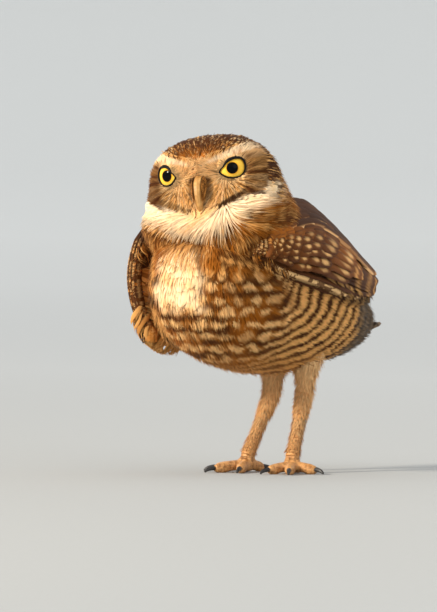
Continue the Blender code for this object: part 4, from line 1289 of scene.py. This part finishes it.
def make_eyes():
    m, tree, shader = material("iris_and_pupil", .4, 0, .0, .14)
    tint, place = painted(tree, "tint", "place")
    vector = node(tree, "CombineXYZ")
    for k, fineness in enumerate((3.0, 60.0)):
        link(tree, math_node(tree, "MULTIPLY", place[k], fineness), vector.inputs[k])
    noise = node(tree, "TexNoise", Scale=1.0, Detail=4.0, Roughness=.6)
    link(tree, vector.outputs[0], noise.inputs["Vector"])
    gain = math_node(tree, "ADD", math_node(tree, "MULTIPLY", noise.outputs[0], .5), .87)
    link(tree, scaled(tree, tint, gain), shader.inputs["Base Color"])
    lid_mat, lid_tree, lid_shader = material("lid_skin", .5, 0, .12)
    lid_shader.inputs["Base Color"].default_value = (.006, .005, .0045, 1)
    bump(lid_tree, lid_shader, surface_noise(lid_tree, Scale=2600.0, Detail=2.0).outputs[0], .4, .0003)
    for side, name in ((1, "left"), (-1, "right")):
        axis, out, up = eye_frame(side)
        centre = EYES[side]
        theta = np.linspace(0.0, math.pi * .62, 72)[:, None]
        phi = np.linspace(0, 2 * math.pi, 129)[None, :-1]
        away = out * np.cos(phi)[..., None] + up * np.sin(phi)[..., None]
        direction = axis * np.cos(theta)[..., None] + away * np.sin(theta)[..., None]
        radius = EYE_RADIUS * (.985 + .025 * np.exp(-(theta / .45) ** 2))
        ball = centre + direction * radius[..., None]
        far = np.sin(theta) * EYE_RADIUS + 0 * phi
        pupil = 1 - ramp(far, .0036, .0039)
        colour = np.zeros(far.shape + (3,)) + srgb(255, 204, 76)
        colour = blend(colour, srgb(226, 140, 10), ramp(.0052 - far, 0, .0016) * .6)
        colour = blend(colour, srgb(190, 112, 20), ramp(far, .0066, .0088) * .8)
        colour = blend(colour, np.array((.002, .002, .002)), np.clip(pupil + ramp(far, .0091, .0096), 0, 1))
        obj = build("eye_" + name + "_ball", ball, grid_quads(72, 128, True))
        colour_layer(obj, "tint", colour)
        turn = np.broadcast_to(phi / (2 * math.pi), far.shape)
        colour_layer(obj, "place", vec(far / EYE_RADIUS, turn, 0 * far))
        flat = vec(.5 + .45 * (theta / 2) * np.cos(phi), .5 + .45 * (theta / 2) * np.sin(phi))
        uv_layer(obj, flat.reshape(-1, 2))
        obj.data.materials.append(m)
        put(obj, "eye", "eye_" + name)
        # lids: an almond opening, a thick dark rim and skin that runs under the feathers
        steps = ((.012, .0000), (-.006, .0003), (.000, .0006), (.022, .0008),
                 (.050, .0008), (.080, .0005), (.13, -.0001), (.40, -.0014))
        rings = []
        heavy = 1 + 1.1 * ramp(np.sin(RIM_TURNS + .35), .1, .9)
        for add, rise in steps:
            th = RIM_ANGLES[side] + add * np.where(add > 0, heavy, 1)
            away = out * np.cos(RIM_TURNS)[:, None] + up * np.sin(RIM_TURNS)[:, None]
            d = axis * np.cos(th)[:, None] + away * np.sin(th)[:, None]
            rings.append(centre + d * (EYE_RADIUS + .0002 + rise))
        lid = build("eyelids_" + name, np.array(rings), grid_quads(len(steps), 144, True))
        ring = np.arange(len(steps))[:, None] + 3
        spot = vec(np.cos(RIM_TURNS)[None] * ring * .04 + .5, np.sin(RIM_TURNS)[None] * ring * .04 + .5)
        uv_layer(lid, spot.reshape(-1, 2))
        lid.data.materials.append(lid_mat)
        put(lid, "head_feathers")


# Wings
def wing_rows():
    """Count, tip at the lower and upper end of the row, length, heights, width in metres, lift and kind."""
    rows = [
        (9, .955, 1.02, .50, .10, .50, .0105, .0010, PRIMARIES),
        (11, .72, .96, .42, .32, .97, .0125, .0014, SECONDARIES),
        (10, .55, .74, .27, .13, .95, .0120, .0022, GREATER),
        (10, .42, .60, .21, .13, .96, .0115, .0027, MIDDLE),
    ]
    for k, tip in enumerate((.345, .285, .225, .165, .105, .05)):
        rows.append((10 + (k % 2), tip, tip + .14 - .01 * k, .150 - .008 * k, .11, .97, .0100 - .0003 * k,
                     .0030 + .0002 * k, LESSER))
    for k, tip in enumerate((.93, .84, .75, .66, .57, .48, .39, .30)):
        rows.append((5, tip - .03, tip + .03, .25, .60 + .012 * k, .97, .0085, .0043 + .0001 * k,
                     SCAPULARS))
    return rows


def wing_tint(kind, share, ground, tone):
    """Vane colours of one row: bars on flight feathers, pale spots on coverts, streaks on scapulars."""
    def tint(along, across):
        base = ground[:, None, None] + 0 * across[..., None]
        a = np.abs(across)
        lower = ramp(.52 - share, -.06, .10)[:, None, None]
        level = tone[:, None, None]
        if kind in FLIGHT:
            bar = ramp(np.cos((along * 5.2 + .12 * a) * 2 * math.pi), .40, .75) * ramp(a, .12, .35)
            out = blend(base, blend(TAN, BUFF, .5), bar * .85)
            out = blend(out, BUFF, ramp(along, .93, .97) * .5)
        elif kind == SCAPULARS:
            side = ramp(across, .10, .40) * ramp(along, .12, .35) * (.25 + .70 * ramp(level, .35, .55))
            out = blend(base, blend(TAN, CREAM, .5), side)
            out = blend(out, DARK * .7, ramp(.10 - across, 0, .30) * ramp(along, .2, .5) * .7)
        else:
            wide, tall = ((.46, .120), (.50, .125), (.40, .120))[kind - GREATER]
            spot = 1 - ramp(np.hypot((across - .22) / wide, (along - .80) / tall), .72, 1.08)
            edge_dark = .32 * ramp(a, .55, 1.0) * ramp(along, .3, .6)
            out = blend(base * (1 - edge_dark)[..., None], blend(BUFF, CREAM, .2), spot * lower * level)
            second = 1 - ramp(np.hypot((across + .45) / .28, (along - .52) / .09), .70, 1.15)
            out = blend(out, TAN, second * .7 * lower)
            pale = ramp(a, .60, .95) * ramp(along, .5, .75) * (1 - lower)
            out = blend(out, RUFOUS, pale * .55)
        shaft = 1 - .40 * (1 - ramp(a, 0, .10))
        # painted shade: each vane darkens towards its root, where the vanes above cover it; the dark shaft is
        # the feather's own
        return out * ((.55 + .45 * ramp(along, .25, .70)) * shaft)[..., None]
    return tint


def coat_wings():
    mat = coat_material("wing_vanes", (40.0, 2.2), .26, .62, .08, .4)
    for name, side_sign, low, high in (("wing_left", 1, WING_LEFT_LOW, WING_LEFT_HIGH),
                                       ("wing_right", -1, WING_RIGHT_LOW, WING_RIGHT_HIGH)):
        coat = Coat(name + "_feathers", "wing_feathers", mat)
        for count, tip_low, tip_high, length, r_low, r_high, width, lift, kind in wing_rows():
            if side_sign < 0:
                count = int(count * 1.5)
                lift = lift * .55
            share = np.linspace(0, 1, count)
            tip = tip_low + (tip_high - tip_low) * share + RNG.uniform(-.014, .014, count)
            across = r_low + (r_high - r_low) * share + RNG.uniform(-.012, .012, count)
            start = across + (.5 - across) * .12 * (kind == PRIMARIES)
            m = 18 if kind in FLIGHT else 14
            v = np.linspace(0, 1, m)[None]
            reach = np.minimum(length, tip + .03)[:, None]
            s = np.clip(tip[:, None] - reach * (1 - v), -.03, 1.06)
            r = start[:, None] + (across - start)[:, None] * v
            layer = .00022 * np.arange(count)[:, None] * 11 / count
            h = -.0018 + (lift + layer * (1 if side_sign > 0 else .5) + .0018) * np.minimum(v * 1.8, 1) ** .8
            h = h - .0030 * ramp(-s, -.04, .03)
            path = wing_at(side_sign, low, high, s, r, h)
            inside = wing_at(side_sign, low, high, s, r, h - .001)
            normal = unit(path - inside)
            side = axes(path, normal)[0] * side_sign
            where = path[:, m // 2]
            warm = ramp(wave(where, 60, 2.0), .1, .8) * .5
            if kind == SCAPULARS:
                warm = warm + .45 * (RNG.random(count) < .4)
            warm = np.clip(warm + .8 * ramp(across, .48, .60) * ramp(.34 - tip, 0, .10), 0, 1)
            ground = blend(np.tile(BROWN * (.80 if kind in FLIGHT else 1.0), (count, 1)), RUFOUS * .8, warm)
            ground = blend(ground, DARK, ramp(wave(where, 140, 5.0), .0, .7) * .35)
            ground = ground * RNG.uniform(.88, 1.22, (count, 1))
            tone = RNG.uniform(.0 if kind == SCAPULARS else .55, 1.1, count).clip(0, 1)
            uv = vec(margin(s[:, 0]), margin(across))
            coat.add(path, side, normal, np.full(count, width) * RNG.uniform(.95, 1.1, count),
                     wing_tint(kind, share, ground, tone), uv, narrow if kind == PRIMARIES else rounded,
                     .16, 11, .05, 12)
        wing_edge(coat, side_sign, low, high)
        wing_front(coat, side_sign, low, high)
        wing_lining(coat, side_sign, low, high)
        coat.done(name)


def wing_front(coat, side_sign, low, high):
    """Small feathers that wrap the front edge of the wing from the outer face to the inner one."""
    thick = WING_THICK[side_sign]
    count = 26 if side_sign > 0 else 60
    for k, turn in enumerate((.15, .65, 1.15, 1.65, 2.15, 2.65)):
        r0 = np.linspace(1.0, .0, count) + RNG.uniform(-.010, .010, count)
        m = 7
        v = np.linspace(0, 1, m)[None]
        span = .16 if side_sign < 0 else .30
        r = np.clip(r0[:, None] - span * v, -.10, 1)
        face = wing_at(side_sign, low, high, np.zeros(r.shape), r, -thick / 2)
        outward = unit(wing_at(side_sign, low, high, np.zeros(r.shape), r, 0.0) - face)
        ahead = unit(face - wing_at(side_sign, low, high, np.full(r.shape, .05), r, -thick / 2))
        normal = unit(outward * math.cos(turn) + ahead * math.sin(turn))
        high_ = thick / 2 + .0003 + .0016 * np.minimum(v * 1.5, 1)
        place = (face + outward * (math.cos(turn) * high_)[..., None]
                 + ahead * (math.sin(turn) * high_ * .8)[..., None])
        side = axes(place, normal)[0]
        tone = RNG.random(count)
        dark = blend(np.tile(BROWN * .62, (count, 1)), DARK, ramp(tone, .3, .6))
        dark = blend(dark, RUFOUS * .8, ramp(tone, .82, .9) * .6)
        if side_sign < 0 and turn > 1.3:
            dark = blend(dark, TAN * .9, ramp(.20 - r0, 0, .10) * .8)

        def tint(along, across, dark=dark, tone=tone, turn=turn):
            spot = 1 - ramp(np.hypot(across / .62, (along - .78) / .17), .7, 1.1)
            c = blend(dark[:, None, None] + 0 * across[..., None], blend(BUFF, CREAM, .3),
                      spot * (ramp(tone, .35, .45) * (1.0 if turn < 1.9 else .4))[:, None, None])
            return c * root_shade(along)[..., None]

        uv = vec(np.full(count, .02 + .008 * k), margin(r0))
        width = np.full(count, .0054 if side_sign < 0 else .0044)
        coat.add(place, side, normal, width, tint, uv, rounded, .3, 5, .10, 6)


def wing_edge(coat, side_sign, low, high):
    """Small feathers wrapped round the lower edge, pale along the left wing's edge."""
    thick = WING_THICK[side_sign]
    for turn in (.0, .5, 1.0, 1.5, 2.0, 2.5, 3.0):
        n = 52
        s0 = np.linspace(-.02, .74, n) + RNG.uniform(-.006, .006, n)
        m = 7
        v = np.linspace(0, 1, m)[None]
        s = np.clip(s0[:, None] + .085 * v, -.02, .86)
        rim = wing_at(side_sign, low, high, s, np.full(s.shape, .03), 0.0)
        inner = wing_at(side_sign, low, high, s, np.full(s.shape, .10), 0.0)
        below = wing_at(side_sign, low, high, s, np.full(s.shape, .03), -.001)
        outward = unit(rim - below)
        down = unit(rim - inner)
        narrow = thick / 2 * (1 - .55 * ramp(s, .5, .9))
        centre = rim - outward * narrow[..., None]
        normal = unit(outward * math.cos(turn) + down * math.sin(turn))
        high_ = narrow + .0002 + .0014 * np.minimum(v * 2, 1)
        path = (centre + outward * (math.cos(turn) * high_)[..., None]
                + down * (math.sin(turn) * high_ * .7)[..., None])
        side = axes(path, normal)[0]
        chance = RNG.random(n)
        if side_sign > 0:
            light = {.5: 1.0, 1.0: .55}.get(turn, 0) * (.12 + .83 * (chance < .62))
            light = light * ramp(s0, .02, .14) * ramp(.70 - s0, 0, .08)
            colour = blend(np.tile(BROWN * .7, (n, 1)), blend(CREAM, BUFF, .4), light)
        else:
            light = (turn > 1.2) * (.55 + .35 * (chance < .6))
            colour = blend(np.tile(DARK, (n, 1)), TAN, light)

        def tint(along, across, colour=colour):
            c = colour[:, None, None] + 0 * across[..., None]
            # painted shade: darker towards the root and towards both sides of each vane, where neighbouring
            # vanes meet
            return c * (root_shade(along) * (1 - .30 * ramp(np.abs(across), .4, 1)))[..., None]

        uv = vec(margin(s0), np.full(n, .03 + .01 * turn))
        coat.add(path, side, normal, np.full(n, .0046), tint, uv, rounded, .3, 5, .12, 7)


def wing_lining(coat, side_sign, low, high):
    """Soft pale feathers on the inner face of the wing."""
    back = .0092 if side_sign > 0 else .0062
    n = LINING_FEATHERS
    s0, r0 = RNG.uniform(.0, .66, n), RNG.uniform(.02, .60, n)
    m = 6
    v = np.linspace(0, 1, m)[None]
    s = np.clip(s0[:, None] + .09 * v, 0, .95)
    r = np.clip(r0[:, None] - .05 * v, .0, 1)
    face = wing_at(side_sign, low, high, s, r, -back)
    outer = wing_at(side_sign, low, high, s, r, 0.0)
    normal = unit(face - outer)
    path = face + normal * (.0002 + .0016 * v * RNG.uniform(.6, 1.3, (n, 1)))[..., None]
    side = axes(path, normal)[0]
    tone = RNG.random(n)

    def tint(along, across):
        c = blend(blend(BUFF + np.zeros((n, 3)), TAN, ramp(tone, .4, .7)), BROWN, ramp(tone, .85, .9) * .6)
        return c[:, None, None] * root_shade(along)[..., None]

    uv = vec(s0 * .9 + .05, r0 * .4 + .05)
    coat.add(path, side, normal, .0042 * RNG.uniform(.8, 1.2, n), tint, uv, rounded, .25, 5, .12, 8)


def coat_underwing():
    """Soft pale feathers between the drooped wing and the breast."""
    coat = Coat("underwing_feathers", "wing_feathers", coat_material("underwing_vanes", (26.0, 3.0), .26))
    n = UNDERWING_FEATHERS
    spot = RNG.random((n, 3))
    roots = vec(-.0240 - .0300 * spot[:, 0], -.0780 + .0330 * spot[:, 1], .0900 + .0190 * spot[:, 2])

    def field(p):
        return unit(np.array((-.15, .45, -1.0)) + 0 * p)

    length = .0140 * RNG.uniform(.7, 1.2, n)
    rise = .0052 + .0034 * ramp(-roots[:, 0], .026, .040)
    path, side, up = walk(roots, field, length, 8, lift_rows(n, 8, .0016, rise, .6, .0003))
    tone = RNG.random(n)

    def tint(along, across):
        c = blend(blend(TAN, BUFF, .6) * .92 + np.zeros((n, 3)), MID, ramp(tone, .35, .95) * .6)
        # painted shade: darker low down and next to the body, under the drooped wing
        c = blend(c, MID * .55, ramp(.103 - roots[:, 2], .0, .012) * ramp(roots[:, 0], -.048, -.030) * .55)
        # painted shade: darker towards each vane's root and a little at its sides
        gain = (.60 + .40 * ramp(along, .1, .7)) * (1 - .12 * ramp(np.abs(across), .5, 1))
        return c[:, None, None] * gain[..., None]

    coat.add(path, side, up, .0030 * RNG.uniform(.6, 1.3, n), tint, wrap_uv(roots), narrow, .2, 5, .08, 12)
    coat.done()


# Tail
def coat_tail():
    mat = coat_material("tail_vanes", (60.0, 2.2), .24, .62, .08, .4)
    coat = Coat("tail_feathers", "tail_feathers", mat)

    def blade(start, end, width, bow, kind, m=18):
        start, end = np.array(start), np.array(end)
        n = len(start)
        v = np.linspace(0, 1, m)[None, :, None]
        path = start[:, None] + (end - start)[:, None] * v
        path[..., 2] += bow * np.sin(math.pi * v[..., 0])
        below = kind == TAIL_BELOW
        side, up = axes(path, np.array((0, 0, 1.0)) * (-1 if below else 1))

        def tint(along, across):
            a = np.abs(across)
            if kind == TAIL_VANES:
                bar = ramp(np.cos(along * 5.0 * 2 * math.pi), .45, .75) * ramp(a, .1, .3)
                bar = bar * .5 * ramp(.8 - along, 0, .1)
                out = blend(np.zeros(across.shape + (3,)) + DARK * .55, TAN, bar)
            elif kind == TAIL_ABOVE:
                spot = 1 - ramp(np.hypot((a - .42) / .36, (along - .75) / .15), .8, 1.15)
                out = blend(np.zeros(across.shape + (3,)) + BROWN, BUFF, spot * .9)
            else:
                out = blend(np.zeros(across.shape + (3,)) + GREY * .6, BUFF, .20 + 0 * along)
            # painted shade: each vane darkens towards its root, where the vanes above cover it
            return out * (.6 + .4 * ramp(along, .1, .6))[..., None] * shades(.88, 1.12, n)

        uv = vec(start[:, 0] * 8 + .5, start[:, 1] * 4 + (.5 if below else .1))
        coat.add(path, side, up, np.full(n, width), tint, uv, rounded, .2, 9, .05, 22 if below else 8)

    share = np.linspace(-1, 1, 12)
    stack = .0036 * (1 - np.abs(share)) - .0030 * np.abs(share)
    blade(vec(share * .0074, .0640 + 0 * share, .1020 + stack),
          vec(share * .0135, .1110 - .0080 * share ** 2, .0955 + stack), .0092, 0, TAIL_VANES)
    for k in range(5):
        share = np.linspace(-1, 1, 7) + (.08 if k % 2 else 0)
        y = .0820 + .0045 * k - .030
        blade(vec(share * .0125, y + 0 * share, .1185 - .0018 * k - .004 * np.abs(share)),
              vec(share * .0130, y + .026 + 0 * share, .1060 - .0014 * k - .002 * np.abs(share)),
              .0100, .0022, TAIL_ABOVE, 12)
        y = .0560 + .0062 * k
        blade(vec(share * .0140, y + 0 * share, .0780 + .0018 * k + .006 * np.abs(share)),
              vec(share * .0120, y + .024 + 0 * share, .0865 + .0010 * k + .003 * np.abs(share)),
              .0120, -.0030, TAIL_BELOW, 12)
    coat.done("tail")


# Thighs and shanks
def coat_legs():
    mat = coat_material("leg_down", (3.0, 1.0), .30, .8, .2, .15)
    coat = Coat("leg_down", "leg_feathers", mat)
    for i in (0, 1):
        hip, heel, ankle = (np.array(p[i]) for p in (HIPS, HEELS, ANKLES))
        for start, end, count, long_, thin, colour, lift in (
            (hip + (hip - heel) * .1, heel + (ankle - heel) * .30,
             THIGH_STRANDS, .0090, .0014, CREAM * .94, .0044),
            (heel, ankle + (heel - ankle) * .06,
             SHANK_STRANDS, .0048, .00062, CREAM * .9, .0019),
        ):
            share = RNG.random(count) ** (1.0 if start is heel else .9)
            angle = RNG.uniform(0, 2 * math.pi, count)
            axis = unit(end - start)
            a = unit(np.cross(axis, np.array((1.0, 0, 0))))
            b = np.cross(axis, a)
            centre = start + (end - start) * share[:, None]
            roots = centre + (a * np.cos(angle)[:, None] + b * np.sin(angle)[:, None]) * .005
            length = long_ * RNG.uniform(.6, 1.2, count) * (1 - .45 * share)
            high = lift * (1 - (.80 if thin > .001 else .3) * share)
            path, side, up = walk(roots, lambda p, axis=axis: axis + 0 * p, length, 5,
                                  lift_rows(count, 5, .0001, high, 1.0, lift * .2))

            def tint(along, across, colour=colour, count=count, share=share):
                c = blend(colour + 0 * across[..., None], TAN, (share * .6)[:, None, None] + 0 * along)
                return shaded(c, along, .6, .5, .85, 1.12)

            uv = vec(angle / (2 * math.pi) * .4 + .05 + .5 * i,
                     share * .45 + .02 + (.5 if start is heel else 0))
            coat.add(path, side, up, thin * RNG.uniform(.7, 1.3, count), tint, uv, strand, .2, 3)
    coat.done()


# Skin colours
def scales(p):
    """Scute that each point lies on, counted along its toe or shank, and how near the top it is."""
    count = np.zeros(len(p))
    share = np.zeros(len(p))
    nearest = np.full(len(p), .0075)
    paths = []
    for i in (0, 1):
        paths += [(toe_path(i, degrees, length, 30)[0], .0017) for degrees, length in TOES[i]]
        heel, ankle = np.array(HEELS[i]), np.array(ANKLES[i])
        paths.append((heel + (ankle - heel) * np.linspace(0, .95, 40)[:, None], .0021))
    low = np.flatnonzero(p[:, 2] < .055)
    for k, (path, size) in enumerate(paths):
        step = np.concatenate(([0], np.cumsum(np.linalg.norm(np.diff(path, axis=0), axis=1))))
        away = p[low][:, None] - path[None]
        far = np.linalg.norm(away, axis=-1)
        best = far.argmin(1)
        ahead = unit(np.gradient(path, axis=0))[best]
        rest = away[np.arange(len(low)), best]
        exact = step[best] + np.sum(rest * ahead, -1)
        closer = far.min(1) < nearest[low]
        chosen = low[closer]
        nearest[chosen] = far.min(1)[closer]
        count[chosen] = exact[closer] / size + 20 * (k + 1)
        rest = rest - ahead * dot(rest, ahead)
        top = unit(rest)[:, 2] if size < .002 else -unit(rest)[:, 1]
        share[chosen] = top[closer]
    return count, share


def finish_skin():
    p = skin_points
    side, forward, up = to_head(p)
    neck = ramp(collar_height(p), -.002, .002)
    # painted shade: the skin takes darker copies of the plumage's colours, so it reads as shade where it
    # shows between the feathers
    colour = blend(body_colour(p) * .62, crown_colour(p) * .62, neck)
    leg = ramp(.070 - p[:, 2], 0, .012)
    patchy = ramp(wave(p, 900, 3.0) + .6 * wave(p, 1700, 1.0), -.1, .7)
    colour = blend(colour, blend(srgb(220, 162, 100) + 0 * colour, srgb(150, 96, 48), patchy * .85), leg)
    disc = ramp(disc_share(side, forward, up), .0, .3) * neck
    # painted shade: a darker copy of the face's colours on the skin of the disc
    colour = blend(colour, face_colour(p) * .72, disc)
    colour_layer(skin, "tint", colour)
    count, share = scales(p)
    colour_layer(skin, "scute", vec(count * .01, np.clip(share, 0, 1), 0 * share))
    m, tree, shader = material("skin_and_scales", .5, 0, .4)
    tint, scute = painted(tree, "tint", "scute")
    number = math_node(tree, "MULTIPLY", scute[0], 100.0)
    fraction = math_node(tree, "FRACT", number)
    ridge = math_node(tree, "SUBTRACT", 1.0, math_node(tree, "POWER", math_node(
        tree, "ABSOLUTE", math_node(tree, "SUBTRACT", math_node(tree, "MULTIPLY", fraction, 2.0), 1.0)), 5.0))
    cells = surface_noise(tree, "TexVoronoi", Scale=900.0)
    grain = math_node(tree, "SUBTRACT", 1.0, cells.outputs["Distance"])
    on_top = math_node(tree, "GREATER_THAN", scute[1], .35)
    level = math_node(tree, "ADD", math_node(tree, "MULTIPLY", ridge, on_top),
                      math_node(tree, "MULTIPLY", grain, math_node(tree, "SUBTRACT", 1.0, on_top)))
    noise = surface_noise(tree, Scale=420.0, Detail=4.0)
    gain = math_node(tree, "ADD", math_node(tree, "MULTIPLY", noise.outputs[0], .5), .50)
    gain = math_node(tree, "ADD", gain, math_node(tree, "MULTIPLY", level, .32))
    link(tree, scaled(tree, tint, gain), shader.inputs["Base Color"])
    bump(tree, shader, level, .9, .0006)
    skin.data.materials.clear()
    skin.data.materials.append(m)
    put(skin, "leg_skin", "head", "neck", "torso", "thigh_left", "thigh_right", "shank_left", "shank_right",
        "foot_left", "foot_right")


# Bill and claws keep their solids, with better materials
def horn(name, rough, specular, low, high, relief, **texture):
    """Horn that wanders between two colours, each with its place on the ramp."""
    m, tree, shader = material(name, rough, 0, specular)
    noise = surface_noise(tree, **texture)
    colours = node(tree, "ValToRGB")
    for stop, (place, colour) in zip(colours.color_ramp.elements, (low, high)):
        stop.position, stop.color = place, (*colour, 1)
    link(tree, noise.outputs[0], colours.inputs[0])
    link(tree, colours.outputs[0], shader.inputs["Base Color"])
    if relief:
        bump(tree, shader, noise.outputs[0], relief, .0003)
    return m


def horn_materials():
    kinds = {
        "bill": horn("bill_horn", .46, .4, (.3, srgb(168, 114, 54)), (.7, srgb(216, 168, 98)), .2,
                     Scale=240.0, Detail=5.0, Roughness=.6),
        "claw": horn("claw_horn", .42, .35, (0, (.008, .008, .009)), (1, (.050, .046, .044)), 0,
                     Scale=500.0, Detail=4.0),
    }
    for name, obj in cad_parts.items():
        if name[:4] in kinds:
            obj.data.materials.clear()
            obj.data.materials.append(kinds[name[:4]])


finish_skin()
make_eyes()
coat_body()
coat_head()
coat_face()
coat_wings()
coat_underwing()
coat_tail()
coat_legs()
horn_materials()
